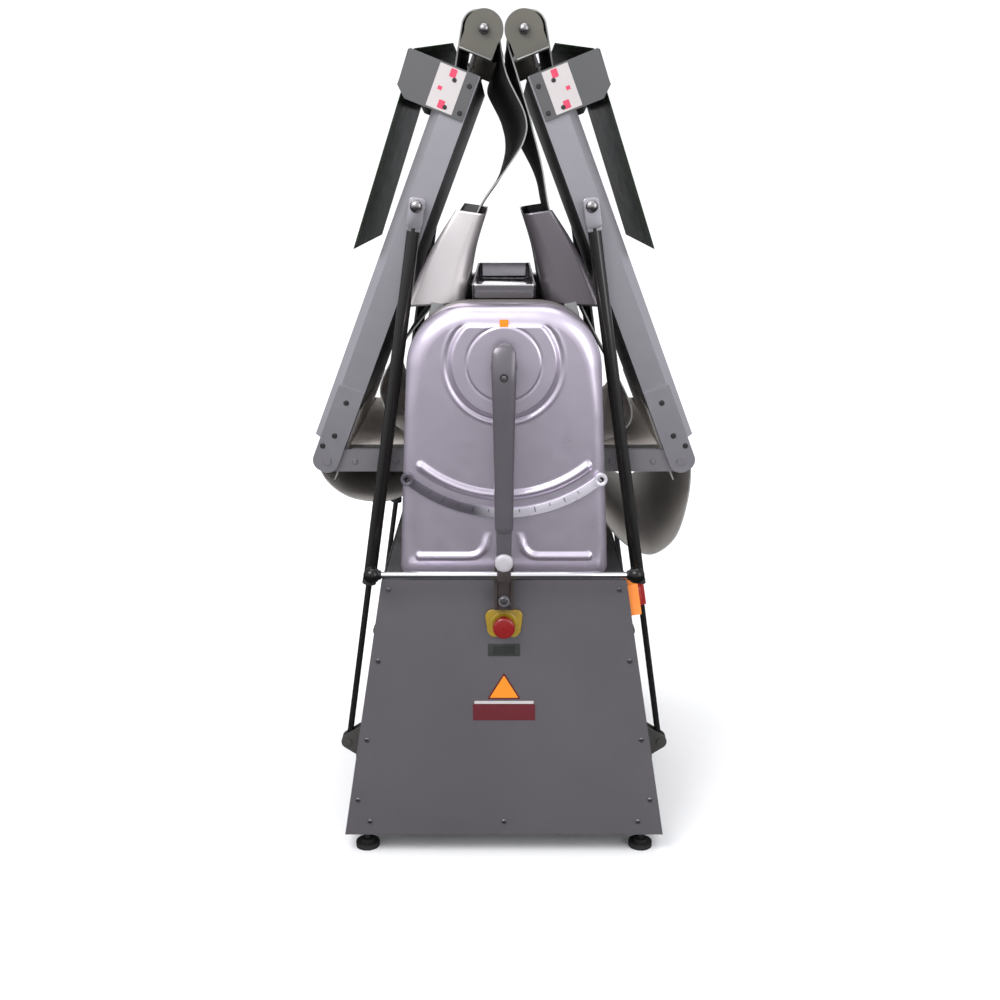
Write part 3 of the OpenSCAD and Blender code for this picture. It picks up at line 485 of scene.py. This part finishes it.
def head_relief(x, z, front):
    """How far the casting stands proud of its front plane: disc and grooves, arc, lower ribs."""
    r = np.hypot(x, z - CAM_Z)
    h = DISC_H * (1 - smooth(r, DISC_R, DISC_R + 9))
    h -= 1.6 * smooth(r, DISC_R + 5, DISC_R + 10) * (1 - smooth(r, DISC_R + 11, DISC_R + 16))
    h += 0.8 * np.exp(-((r - DISC_R - 18) / 3.0) ** 2)
    h -= 1.3 * np.exp(-((r - GROOVE_R) / 1.7) ** 2)
    h += 0.8 * smooth(GROOVE_R - r, 0, 3)
    if front:
        h += ARC_H * capsule(x, z, ARC_PATH, ARC_HALF)
    else:
        h -= 1.0 * np.exp(-((z - SEAM_Z) / 5.0) ** 2) * (1 - smooth(np.abs(x), 150, 172))
    for side in SIDES:
        h += RIB_H * capsule(side * x, z, RIB_PATH, RIB_HALF) * (1 - smooth(z, *RIB_FADE))
    return h


def housing(name, front, node):
    """A hollow casting: side wall, rounded edge, then rings that close in on a point of its face."""
    count, rings = 460, 200
    edge, normal = head_boundary(count)
    sign = 1 if front else -1
    rows, depth = [], []
    round_r = EDGE_R + SHOULDER_EXTRA_R * smooth(edge[:, 1], 900, 1040)
    for y in (SHELL_BACK, -330.0, -352.0, -356.0):
        rows.append(edge)
        depth.append(np.full(count, y))
    for k in range(10):
        a = math.radians(90 * k / 10)
        rows.append(edge - normal * (round_r * (1 - math.cos(a)))[:, None])
        depth.append(FRONT + round_r * (1 - math.sin(a)))
    inner = edge - normal * round_r[:, None]
    middle = np.array([0.0, 880.0])
    for k in range(rings):
        p = inner + (middle - inner) * (k / rings)
        rows.append(p)
        near_edge = float(smooth(float(k), -1, 6))
        depth.append(FRONT - head_relief(p[:, 0], p[:, 1], front) * near_edge)
    verts = []
    for p, y in zip(rows, depth):
        verts += [(px, sign * py, pz) for px, py, pz in zip(p[:, 0], y, p[:, 1])]
    tip = len(verts)
    tip_y = FRONT - float(head_relief(middle[:1], middle[1:], front)[0])
    verts.append((middle[0], sign * tip_y, middle[1]))
    faces = ring_faces(len(rows), count)[:-2]
    last = (len(rows) - 1) * count
    faces += [(last + i, last + (i + 1) % count, tip) for i in range(count)]
    # inside of the shell, and the lip that joins it to the outside
    start = len(verts)
    inside = edge - normal * 7.0
    deeper = edge - normal * 16.0
    for p, y in ((inside, SHELL_BACK), (inside, -386.0), (deeper, -394.0)):
        verts += [(px, sign * y, pz) for px, pz in p]
    for k in range(2):
        for i in range(count):
            j = (i + 1) % count
            faces.append((start + k * count + j, start + k * count + i,
                          start + (k + 1) * count + i, start + (k + 1) * count + j))
    faces += [(i, (i + 1) % count, start + (i + 1) % count, start + i) for i in range(count)]
    faces.append(tuple(start + 2 * count + i for i in range(count)))
    # faces behind RIM_Y take the darker rim material: painted shade on the casting's sides
    face_y = [sum(verts[i][1] for i in f) / len(f) * sign for f in faces]
    index = [1 if y > RIM_Y else 0 for y in face_y]
    return piece(name, verts, faces, ["head", "rim"], "base", "head_casting", [node], sharp=50,
                 indices=index)


housing("front_casting", True, "front_housing")
housing("rear_casting", False, "rear_housing")


# ---- Gap handle ----
def loft(sections):
    """Rings of (z, half width, front y, back y, squareness) joined into a bar with rounded sides."""
    steps = 36
    verts = []
    for z, half, y0, y1, square in sections:
        for s in range(steps):
            a = 2 * math.pi * s / steps
            c, d = math.cos(a), math.sin(a)
            verts.append((half * math.copysign(abs(c) ** square, c),
                          (y0 + y1) / 2 + (y1 - y0) / 2 * math.copysign(abs(d) ** square, d), z))
    return verts, ring_faces(len(sections), steps)


BAR_FRONT, BAR_BACK, BAR_SQUARE = -470.5, -449, 0.86
BAR_STEP_Z, BAR_STEP_HALF = 712, 17.2
SCREW_Z = 986


def bend(z):
    """Front of the bar, which curves back above the screw."""
    return BAR_FRONT + 15.0 * max(0.0, (z - 976) / 70) ** 2


grip = []
for i in range(13):
    a = math.radians(90 * i / 12)
    z = 1024 + 22 * math.cos(a)
    grip.append((z, max(0.4, 22 * math.sin(a)), bend(z) + 5 * math.cos(a) ** 4, BAR_BACK, BAR_SQUARE))
bar_halves = ((1014, 22.4), (1004, 22.5), (994, 22.5), (985, 22.5), (976, 22.3), (950, 21.5), (900, 20),
              (850, 19), (800, 18.2), (750, 17.6), (BAR_STEP_Z, BAR_STEP_HALF))
grip += [(z, half, bend(z), BAR_BACK, BAR_SQUARE) for z, half in bar_halves]
for i in range(1, 7):
    a = math.radians(90 * i / 6)
    turn = 1 - math.cos(a)
    grip.append((BAR_STEP_Z - 14 * math.sin(a), BAR_STEP_HALF - 2.6 * turn, BAR_FRONT + 5.5 * turn, BAR_BACK,
                 BAR_SQUARE))
grip += [(z, half, -464.5, -449.5, 0.8) for z, half in ((690, 14.6), (660, 14.3), (640, 14.0))]
knob = [(15.5, 0), (17, 1.5), (17, 13), (16.2, 15.4), (14.2, 17), (8, 17.8), (0, 18)]
seat = [(7.6, 0), (7.6, 1.0), (5.2, 1.0), (4.6, -3.5), (0, -3.5)]
socket = [(4.4, 0), (4.4, 2.4), (2.6, 2.8), (2.2, 0.8), (0, 0.8)]
piece("handle_bar", *loft(grip), "head_dark", "gap_handle", "head_casting", ["gap_handle"], sharp=60)
piece("handle_knob", *lathe(knob, (0, -453, 641)), "tip", "gap_handle", "head_casting", sharp=50)
piece("handle_hub", *lathe([(24, 0), (24, 36), (21, 40)], (0, -407, CAM_Z)), "head_dark", "gap_handle",
      "head_casting", sharp=50)
piece("handle_screw_seat", *lathe(seat, (0, -470.0, SCREW_Z)), "rubber", "gap_handle", sharp=40)
piece("handle_screw", *lathe(socket, (0, -468.6, SCREW_Z), steps=6), "screw", "gap_handle", "fastener_steel",
      sharp=25)

# ---- Carriage springs, which stretch between the shelf and the carriage ----
def coil(y, low, high, r=11.0, wire=1.6, turns=4, per_turn=32):
    """A spring with one closed turn at each end."""
    rise = [k / (turns * per_turn) for k in range(turns * per_turn)]
    climb = [0.0] * per_turn + rise + [1.0] * (per_turn + 1)
    path = []
    for k, c in enumerate(climb):
        a = 2 * math.pi * k / per_turn
        path.append((r * math.cos(a), y + r * math.sin(a), low + wire + (high - low - 2 * wire) * c))
    return tube(path, wire, 10)


spring_low, spring_high = [corner[2] * 1000 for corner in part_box("carriage_springs")]
SPRING_Y = -316.0
springs = piece("coil_springs", *both_ends(coil(SPRING_Y, spring_low, spring_high)), "machined", None,
                "fastener_steel", ["carriage_springs"], sharp=60)
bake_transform(springs)

# ---- Scale track ----
TRACK_R, TRACK_HALF, TRACK_END = 281.0, 9.0, math.radians(40)
sweep = np.linspace(-TRACK_END, TRACK_END, 65)
strip = [round_cam(a, TRACK_R + TRACK_HALF) for a in sweep]
strip += [round_cam(a, TRACK_R - TRACK_HALF) for a in sweep[::-1]]
boss = [(12.0, 0), (12.0, 10.4), (10.9, 11.6), (6.6, 11.6), (5.6, 10.8), (5.4, 3.0), (0, 3.0)]
bore = [(5.35, 0), (5.35, 6.6), (5.0, 6.6), (4.8, 1.0), (0, 1.0)]
piece("track_strip", *prism(strip, FRONT - 5.0, FRONT - 0.02), "track", "base", "polished_steel",
      ["scale_track"], bevel=0.6)
for side, word in SIDES.items():
    x, z = round_cam(side * TRACK_END, TRACK_R)
    piece(f"track_boss_{word}", *lathe(boss, (x, FRONT - 0.4, z)), "track", "base", "polished_steel",
          sharp=40)
    # a black cup inside each boss's hole: painted shade in the socket
    piece(f"track_hole_painted_shade_{word}", *lathe(bore, (x, FRONT - 3.2, z)), "rubber", "base", sharp=40)
marks = []
for deg in range(-30, 31, 6):
    a = math.radians(deg)
    if abs(deg) < 6:
        continue
    d, w = (math.sin(a), -math.cos(a)), (math.cos(a), math.sin(a))
    r0, r1 = 274.5, 280.5 if deg % 12 else 284.0
    corners = [(r0, -0.6), (r1, -0.6), (r1, 0.6), (r0, 0.6)]
    outline = [(d[0] * r + w[0] * s, CAM_Z + d[1] * r + w[1] * s) for r, s in corners]
    marks.append(prism(outline, FRONT - 5.6, FRONT - 5.2))
piece("track_marks", *joined(*marks), "label_dark", "base")

# ---- Reverse lever ----
BAR_Y, BAR_HALF = -436, 234
BALL_X, BALL_R = 248, 16.0
stem = prism(rounded(-18, LEVER_Z - 20, 18, LEVER_BAR_Z + 20, 4), FRONT - 20, FRONT - 12)
cheeks = [prism(rounded(side * 15.5 - 2.5, 534, side * 15.5 + 2.5, 626, 1.5), FRONT - 26, FRONT - 18)
          for side in SIDES]
bar = [(5.4, -BAR_HALF), (6.5, 1.4 - BAR_HALF), (6.5, BAR_HALF - 1.4), (5.4, BAR_HALF)]
piece("lever_stem", *joined(stem, *cheeks), "bronze", "reverse_lever", "roller_chrome", ["reverse_lever"],
      bevel=0.7)
piece("lever_clamp", *prism(rounded(-13, 596, 13, 622, 5), -446, -417), "bronze", "reverse_lever",
      "roller_chrome", bevel=1.6)
piece("lever_bar", *lathe(bar, (0, BAR_Y, LEVER_BAR_Z), (1, 0, 0)), "chrome", "reverse_lever",
      "roller_chrome", sharp=40)
ball = [(6.6, -17.5), (9.0, -16.2), (9.2, -13.6)]
ball += [(BALL_R * math.cos(a), BALL_R * math.sin(a))
         for a in np.linspace(math.radians(-55), math.radians(88), 18)]
ball.append((0, BALL_R))
for side, word in SIDES.items():
    piece(f"ball_knob_{word}", *lathe(ball, (side * BALL_X, BAR_Y, LEVER_BAR_Z), (side, 0, 0)), "ball",
          "reverse_lever", "knob_plastic", ["ball_knobs"], sharp=50)
bolt = lathe([(8.5, 0), (8.5, 4.0), (7.0, 5.4), (0, 5.8)], (0, FRONT - 20, LEVER_Z))
stop_screw = lathe([(5.2, 0), (5.2, 3.4), (0, 3.8)], (11.5, FRONT - 20, LEVER_Z - 8), steps=6)
piece("lever_bolt", *joined(bolt, stop_screw), "screw", "base", "fastener_steel", sharp=30)

# ---- Emergency stop: a collar that narrows downwards, its ring and the mushroom ----
collar = [(x * (1.0 - 0.16 * max(0.0, (510 - z) / 38)), z) for x, z in rounded(-36, 472, 36, 528, 14, 8)]
ring = [(27, 0), (27, 1.6), (25.5, 2.6), (22.5, 3), (20, 2.4), (12, 2), (9.2, 2)]
mushroom = [(8.8, -30), (8.8, 15), (19.2, 15.4), (21, 17)] + dome(21, 17.4, 32, 6)[1:]
piece("stop_collar", *prism(collar, FRONT - 6, FRONT - 0.2), "yellow", "base", "estop_yellow",
      ["estop_collar"], bevel=2.2, sharp=45)
piece("stop_collar_ring", *lathe(ring, (0, FRONT - 5.6, STOP_Z)), "yellow", "base", "estop_yellow", sharp=45)
piece("stop_mushroom", *lathe(mushroom, (0, FRONT, STOP_Z)), "red", "estop_button", "estop_red",
      ["estop_button"], sharp=45)

# ---- Plain plates on the base and the head, without lettering ----
def triangle(cx, z0, half, high, r):
    """A triangle that stands on its base, with its corners cut off r from each."""
    corners = [(cx - half, z0), (cx + half, z0), (cx, z0 + high)]
    out = []
    for i, (x, z) in enumerate(corners):
        for k in (-1, 1):
            ox, oz = corners[(i + k) % 3]
            d = math.hypot(ox - x, oz - z)
            out.append((x + (ox - x) * r / d, z + (oz - z) * r / d))
    return out


def plate(name, outline, near, far, mat, bevel=0.0):
    """A thin plate that stands from far to near millimetres in front of the base."""
    piece(name, *prism(outline, FRONT - near, FRONT - far), mat, "base", bevel=bevel)


plate("grey_plate", rounded(-31, 431, 31, 456, 1.5), 0.9, 0.1, "label_grey", 0.2)
plate("grey_plate_inlay", rounded(-21, 435, 21, 452, 3), 1.3, 0.8, "label_dark")
plate("amber_plate_edge", triangle(0, 341, 33, 55, 2.5), 0.8, 0.1, "maroon")
plate("amber_plate", triangle(0, 344, 28, 47, 1.5), 1.2, 0.7, "amber")
plate("maroon_plate", rounded(-61, 296, 61, 330, 1.5), 0.9, 0.1, "maroon", 0.2)
plate("pale_strip", rounded(-58, 331, 58, 337, 1), 0.8, 0.1, "pale")
plate("dome_sticker", rounded(-8, 1069, 8, 1082, 1), 4.6, 3.4, "amber")

# ---- Flour tray with a rolled rim ----
TRAY_HALF_X, TRAY_HALF_Y, TRAY_BOTTOM, TRAY_TOP = 60.0, 296.0, 1095.3, 1134.0


def tray():
    """Rings of the outside and then of the inside, each at a height and pulled in by an inset."""
    outside = [(0, 8.0), (3, 2.2), (9, 0.0), (TRAY_TOP - TRAY_BOTTOM, 0.0)]
    inside = [(TRAY_TOP - TRAY_BOTTOM, 2.0), (10, 2.0), (4.5, 4.2), (2, 9.0)]
    verts = []
    for up, inset in outside + inside:
        x, y = TRAY_HALF_X - inset, TRAY_HALF_Y - inset
        outline = rounded(-x, -y, x, y, 9)
        verts += [(a, b, TRAY_BOTTOM + up) for a, b in outline]
    return verts, ring_faces(len(outside + inside), len(outline))


piece("flour_tray_shell", *tray(), "tray", "base", "polished_steel", ["flour_tray"], sharp=50)
rim = [(x, y, TRAY_TOP) for x, y in rounded(-58.8, -294.8, 58.8, 294.8, 8)]
piece("flour_tray_rim", *tube(rim, 2.0, 10, closed=True), "chrome", "base", "polished_steel", sharp=60)

# ---- Finger guards ----
GUARD_IN = [(77, 1097), (62, 1180), (36, 1263)]
GUARD_OUT = [(190, 1090), (136, 1200), (90, 1271)]
GUARD_END = -267.6
ARM_X, ARM_Z, ARM_TILT = 150, 985, math.radians(12)


def guard_shell(side):
    """A sheet that runs the depth of the head and turns round a soft corner into its end cheeks."""
    inner, outer = spline(GUARD_IN, 13), spline(GUARD_OUT, 13)
    rows = len(inner)
    # each column: how far from the inner edge line to the outer one, and its y
    near = [(0.0, y) for y in np.linspace(0, -240, 9)]
    for k in range(15):
        a = math.radians(90 * (1 - k / 14))
        near.append((0.34 * (1 - math.sin(a)), GUARD_END + 22 * (1 - math.cos(a))))
    near += [(0.6, GUARD_END - 0.3), (0.85, GUARD_END), (1.0, GUARD_END + 0.7)]
    columns = [(t, -y) for t, y in near[:0:-1]] + near
    verts = []
    for t, y in columns:
        verts += [(side * x, y, z) for x, z in inner + (outer - inner) * t]
    faces = [(c * rows + r, c * rows + r + 1, (c + 1) * rows + r + 1, (c + 1) * rows + r)
             for c in range(len(columns) - 1) for r in range(rows - 1)]
    return verts, faces


# an arm's outline: a round ear at its pivot, then straight up to the guard
ear = [(14 * math.cos(a), 14 * math.sin(a)) for a in np.linspace(math.pi - 0.55, 2 * math.pi + 0.55, 18)]
ear += [(12, 116), (-12, 116)]
for side, word in SIDES.items():
    sheet_obj = piece(f"guard_sheet_{word}", *guard_shell(side), f"guard_{word}", f"guard_{word}",
                      "polished_steel", [f"guard_{word}"], sharp=70)
    thick = sheet_obj.modifiers.new("thickness", "SOLIDIFY")
    thick.thickness = 0.0015
    thick.offset = 0
    arm = [(side * (ARM_X + u * math.cos(ARM_TILT) - v * math.sin(ARM_TILT)),
            ARM_Z + u * math.sin(ARM_TILT) + v * math.cos(ARM_TILT)) for u, v in ear]
    piece(f"guard_arms_{word}", *both_ends(prism(arm, -273.8, -268.4)), "bed", f"guard_{word}",
          "polished_steel", bevel=0.5)

# ---- Conveyor belts ----
BELT_T, BELT_HALF = 2.5, 259.5
WRAP_R = 24.3 + BELT_T / 2       # belt's mid-line round the end roller
DRIVE_WRAP_R = 20.3 + BELT_T / 2
EXIT = math.radians(60)          # where the slack run leaves the end roller
LOOSE = 17.0                     # how far the belt stands off the end roller where it comes on
REAR_LIFT = 38.0                 # how much higher the hanging loop's rear edge is


def off_roller(d):
    """A point d along the line on which the slack run leaves the end roller."""
    return on_table(END_ROLLER_L + WRAP_R * math.cos(EXIT) - d * math.sin(EXIT),
                    WRAP_R * math.sin(EXIT) + d * math.cos(EXIT))


# the slack run, from the end roller down to the head's centre
SLACK = {
    LEFT: [(-4, 1510), (-38, 1440), (-36, 1395), (-3, 1342), (45, 1276), (75, 1200), (120, 1115), (200, 1010),
           (238, 942), (236, 900), (219, 865), (180, 836)],
    RIGHT: [(26, 1510), (48, 1440), (54, 1415), (70, 1350), (85, 1270), (114, 1180), (150, 1090), (200, 990),
            (240, 915), (250, 875), (232, 845), (190, 827)]}
SLACK_START, SLACK_END = [off_roller(0), off_roller(25)], [(150, 822)]
SKEW = {LEFT: 42.0, RIGHT: -28.0}  # how far the slack run's rear edge leans sideways
# the hanging loop, from under the drive roller to the hinge
LOOP = {
    LEFT: [(130, 768), (175, 735), (215, 712), (256, 705), (310, 715), (350, 745), (367, 785)],
    RIGHT: [(125, 768), (170, 715), (220, 640), (262, 604), (303, 595), (345, 632), (366, 710), (369, 780)]}
LOOP_START, LOOP_END = [(DRIVE_X, DRIVE_Z - DRIVE_R - BELT_T / 2)], [(361.2, 821.5)]


def band(path, side, ripple=0.0, skew=0.0):
    """A strip of belt along a path; ripple waves its surface and skew pulls its rear edge sideways.

    Returns vertices, faces, material indices and the path's length in millimetres."""
    p = np.array(path, float)
    d = np.gradient(p, axis=0)
    d /= np.linalg.norm(d, axis=1)[:, None]
    normal = np.stack([-d[:, 1], d[:, 0]], 1)
    run = np.concatenate([[0], np.cumsum(np.hypot(*np.diff(p, axis=0).T))])
    fade = smooth(run, 0, 90) * (1 - smooth(run, run[-1] - 90, run[-1]))
    ys = np.linspace(-BELT_HALF, BELT_HALF, 17)
    verts, rows, cols = [], len(p), len(ys)
    for sign in (-1, 1):
        for y in ys:
            wave = ripple * fade * (np.sin(y / 83 + run / 61) + 0.5 * np.sin(y / 37 - run / 113 + 1.0))
            q = p + normal * (sign * BELT_T / 2 + wave)[:, None]
            rear = (y + BELT_HALF) / (2 * BELT_HALF)
            q[:, 0] += skew * fade * rear * smooth(p[:, 1], 1300, 1440)
            q[:, 1] += REAR_LIFT * fade * rear * smooth(-p[:, 1], -760, -620)
            verts += [(side * a, y, b) for a, b in q]
    faces, index = [], []
    size = rows * cols
    for s in (0, 1):
        for c in range(cols - 1):
            for r in range(rows - 1):
                k = s * size + c * rows + r
                faces.append((k, k + 1, k + rows + 1, k + rows))
                index.append(s)
    for c in (0, cols - 1):
        for r in range(rows - 1):
            k = c * rows + r
            faces.append((k, k + 1, size + k + 1, size + k))
            index.append(2)
    for r in (0, rows - 1):
        for c in range(cols - 1):
            k = c * rows + r
            faces.append((k, k + rows, size + k + rows, size + k))
            index.append(2)
    return verts, faces, index, float(run[-1])


def belt_piece(name, path, side, body, cad_node, ripple=0.0, skew=0.0):
    """A piece of belt that stands for a CAD belt."""
    verts, faces, index, length = band(path, side, ripple, skew)
    obj = piece(name, verts, faces, ["belt_under", "belt_top", "belt_edge"], body, "belt_fabric", [cad_node],
                sharp=50, indices=index)
    return obj


for side, word in SIDES.items():
    table, fold, belt, loop = f"table_{word}", f"{word}_table_fold", f"belt_{word}", f"belt_loop_{word}"
    # return side along the table, then round the end roller
    run = [on_table(l, -WRAP_R) for l in np.linspace(20, END_ROLLER_L, 40)[:-4]]
    for a in np.linspace(-math.pi / 2, EXIT, 31):
        loose = WRAP_R + LOOSE * (1 - float(smooth(a, -1.3, 0.5)))
        run.append(on_table(END_ROLLER_L + loose * math.cos(a), loose * math.sin(a)))
    belt_piece(f"belt_return_{word}", run, side, table, belt)
    # short strip over the hinge
    flap = [on_table(l, 23.4 + BELT_T / 2) for l in np.linspace(112, -40, 16)]
    belt_piece(f"belt_at_hinge_{word}", flap, side, table, belt)
    # slack run, which flattens onto the table's bed
    slack = belt_piece(f"belt_slack_{word}", spline(SLACK_START + SLACK[side] + SLACK_END, 9), side, table,
                       belt, 1.2, SKEW[side])
    x, z = on_table(400, 23.6 + BELT_T / 2)
    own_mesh(slack)
    # hanging loop, which flattens under the fixed bed
    hanging = belt_piece(f"belt_hanging_{word}", spline(LOOP_START + LOOP[side] + LOOP_END, 9), side, "base",
                         loop, 1.0)
    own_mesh(hanging)
    # over the fixed bed and round the drive roller
    fixed = [(x, 819.0 + BELT_T / 2) for x in np.linspace(302, DRIVE_X, 24)]
    fixed += [(DRIVE_X + DRIVE_WRAP_R * math.cos(a), DRIVE_Z + DRIVE_WRAP_R * math.sin(a))
              for a in np.linspace(math.pi / 2, 3 * math.pi / 2, 31)[1:]]
    belt_piece(f"belt_bed_{word}", fixed, side, "base", loop)

# ---- Table fittings ----
PLATE_Y = -296.0


def at_table(part, side):
    """A part drawn at the folded right-hand table (along, y, across), placed on a side."""
    verts = []
    for l, y, p in part[0]:
        x, z = on_table(l, p)
        verts.append((side * x, y, z))
    return verts, part[1]


label = prism(rounded(690.5, -52, 769, -2, 1), PLATE_Y - 0.6, PLATE_Y - 0.05)
bars = [prism(outline, PLATE_Y - 0.9, PLATE_Y - 0.5)
        for outline in (rounded(752, -30, 767, -18, 2), rounded(694, -32, 709, -20, 2),
                        rounded(724, -42, 731, -34, 1))]
fold_edge = prism([(803, -31), (806.5, -31), (806.5, 31), (803, 31)], -298.6, -289.9)
roller_cap = [(9.5, 0), (9.5, 2), (8.6, 5.5), (6.2, 8.0), (3.4, 9.0), (0, 9.2)]
strut_cap = [(11.5, 0), (11.5, 4), (10, 7.5), (6, 10), (0, 10.6)]
caps = joined(lathe(roller_cap, (END_ROLLER_L, PLATE_Y, 0)),
              lathe(strut_cap, (STRUT_TOP[0], -328.3, STRUT_TOP[1])))
for side, word in SIDES.items():
    table = f"table_{word}"
    piece(f"pan_label_{word}", *at_table(label, side), "pale", table)
    piece(f"pan_label_bars_{word}", *at_table(joined(*bars), side), "rose", table)
    piece(f"end_plate_fold_{word}", *at_table(both_ends(fold_edge), side), "bed", table, "plate_paint",
          bevel=0.8)
    piece(f"table_caps_{word}", *at_table(both_ends(caps), side), "screw", table, "fastener_steel", sharp=40)

# ---- Strut forks and collars ----
TOP_X, TOP_Z = on_table(*STRUT_TOP)
LEAN = math.atan2(TOP_Z - STRUT_FOOT[1], TOP_X - STRUT_FOOT[0])


def on_strut(side, u, v):
    """u down the strut from its top pin, v across it."""
    return (side * (TOP_X - u * math.cos(LEAN) - v * math.sin(LEAN)),
            TOP_Z - u * math.sin(LEAN) + v * math.cos(LEAN))


sleeve = [(12.4, 0), (13.6, 0.8), (13.6, 11), (12.4, 12), (10.4, 12), (10.4, 0)]
for side, word in SIDES.items():
    outline = [on_strut(side, u, v) for u, v in rounded(-15, -14.5, 40, 14.5, 7)]
    stub = [on_strut(side, u, v) for u, v in rounded(20, -13.5, 46, 13.5, 3)]
    fork = joined(prism(outline, -328.5, -325), prism(outline, -307, -303.8), prism(stub, -328, -304))
    piece(f"strut_fork_{word}", *both_ends(fork), "rail", f"strut_tubes_{word}", "roller_chrome", bevel=0.8)
    x0, z0 = on_strut(side, 724, 0)
    x1, z1 = on_strut(side, 737, 0)
    verts, faces = lathe(sleeve, (x0, -316, z0), (x1 - x0, 0, z1 - z0))
    piece(f"strut_collar_{word}", *both_ends((verts, faces[:-2])), "rubber", f"strut_tubes_{word}",
          "strut_black", sharp=45)

# ---- Camera ----
scene = bpy.context.scene
cam_data = bpy.data.cameras.new("camera")
cam_data.lens = 44.64
cam_data.sensor_width = 36
cam_data.shift_x = -0.004
cam_data.clip_start = 0.05
cam_data.clip_end = 60
cam = bpy.data.objects.new("camera", cam_data)
cam.location = (0, -2.6215, 1.3395)
cam.rotation_euler = (math.radians(90 - 14.816), 0, 0)
scene.collection.objects.link(cam)
scene.camera = cam

# ---- Floor: a wide disc that glows a little far from the machine, and isn't mirrored in it ----
FLOOR_R, FLOOR_RINGS, FLOOR_STEPS = 40.0, 14, 96
floor_verts, floor_faces = [(0, 0, 0)], []
for k in range(1, FLOOR_RINGS + 1):
    r = FLOOR_R * (k / FLOOR_RINGS) ** 2
    for i in range(FLOOR_STEPS):
        a = 2 * math.pi * i / FLOOR_STEPS
        floor_verts.append((r * math.cos(a), r * math.sin(a), 0))
for i in range(FLOOR_STEPS):
    j = (i + 1) % FLOOR_STEPS
    floor_faces.append((0, 1 + i, 1 + j))
for k in range(FLOOR_RINGS - 1):
    a, b = 1 + k * FLOOR_STEPS, 1 + (k + 1) * FLOOR_STEPS
    for i in range(FLOOR_STEPS):
        j = (i + 1) % FLOOR_STEPS
        floor_faces.append((a + i, b + i, b + j, a + j))
floor_mesh = bpy.data.meshes.new("floor")
floor_mesh.from_pydata(floor_verts, [], floor_faces)
floor_paint = shader("pale_floor", (0.90, 0.90, 0.91), rough=0.9, specular=0.1, tint=0.015, tint_scale=1.5,
                     rough_spread=0.04)
tree = floor_paint.node_tree
place = node(tree, "TexCoord").outputs["Object"]
far = node(tree, "VectorMath", {0: place}, operation="LENGTH").outputs["Value"]
glow = node(tree, "MapRange", {"From Min": 1.2, "From Max": 4.0, "To Min": 0.0, "To Max": 0.45, "Value": far})
floor_shader = tree.nodes["Principled BSDF"]
floor_shader.inputs["Emission Color"].default_value = (1, 1, 1, 1)
tree.links.new(glow.outputs["Result"], floor_shader.inputs["Emission Strength"])
floor_mesh.materials.append(floor_paint)
floor = bpy.data.objects.new("floor", floor_mesh)
scene.collection.objects.link(floor)
floor.visible_glossy = False

# ---- Light: bright above, dark below and behind, with a plain bright backdrop for the camera ----
BACKDROP = 1.1
scene.view_settings.view_transform = "Standard"
world = bpy.data.worlds.new("world")
world.use_nodes = True
sky = world.node_tree
direction = node(sky, "TexCoord").outputs["Generated"]
parts = node(sky, "SeparateXYZ", {"Vector": direction}).outputs
climb = node(sky, "MapRange", {"From Min": -0.26, "From Max": 0.12, "To Min": 0.06, "To Max": 1.1,
                               "Value": parts["Z"]}).outputs["Result"]
behind = node(sky, "MapRange", {"From Min": -0.2, "From Max": 0.5, "To Min": 1.0, "To Max": 0.35,
                                "Value": parts["Y"]}).outputs["Result"]
shaded = node(sky, "Math", {0: climb, 1: behind}, operation="MULTIPLY").outputs["Value"]
seen = node(sky, "LightPath").outputs["Is Camera Ray"]
plain = node(sky, "Mix", {"Factor": seen, "A": shaded, "B": BACKDROP}).outputs["Result"]
background = sky.nodes["Background"]
background.inputs["Color"].default_value = (0.96, 0.97, 1.0, 1)
sky.links.new(plain, background.inputs["Strength"])
scene.world = world


def softbox(name, where, aim, size, power):
    """A rectangular area light at where, turned towards aim."""
    data = bpy.data.lights.new(name, "AREA")
    data.shape = "RECTANGLE"
    data.size, data.size_y = size
    data.energy = power
    lamp = bpy.data.objects.new(name, data)
    lamp.location = where
    lamp.rotation_euler = (Vector(aim) - Vector(where)).to_track_quat("-Z", "Y").to_euler()
    scene.collection.objects.link(lamp)


softbox("key", (-1.6, -2.2, 3.3), (0, 0, 0.9), (2.2, 1.6), 95)
softbox("fill", (2.4, -2.4, 1.9), (0, 0, 0.8), (1.6, 2.0), 28)
softbox("top", (0.0, 0.4, 3.6), (0, 0, 0.8), (2.4, 2.0), 45)
softbox("back", (0.6, 2.6, 2.4), (0, 0, 1.0), (2.4, 1.4), 30)
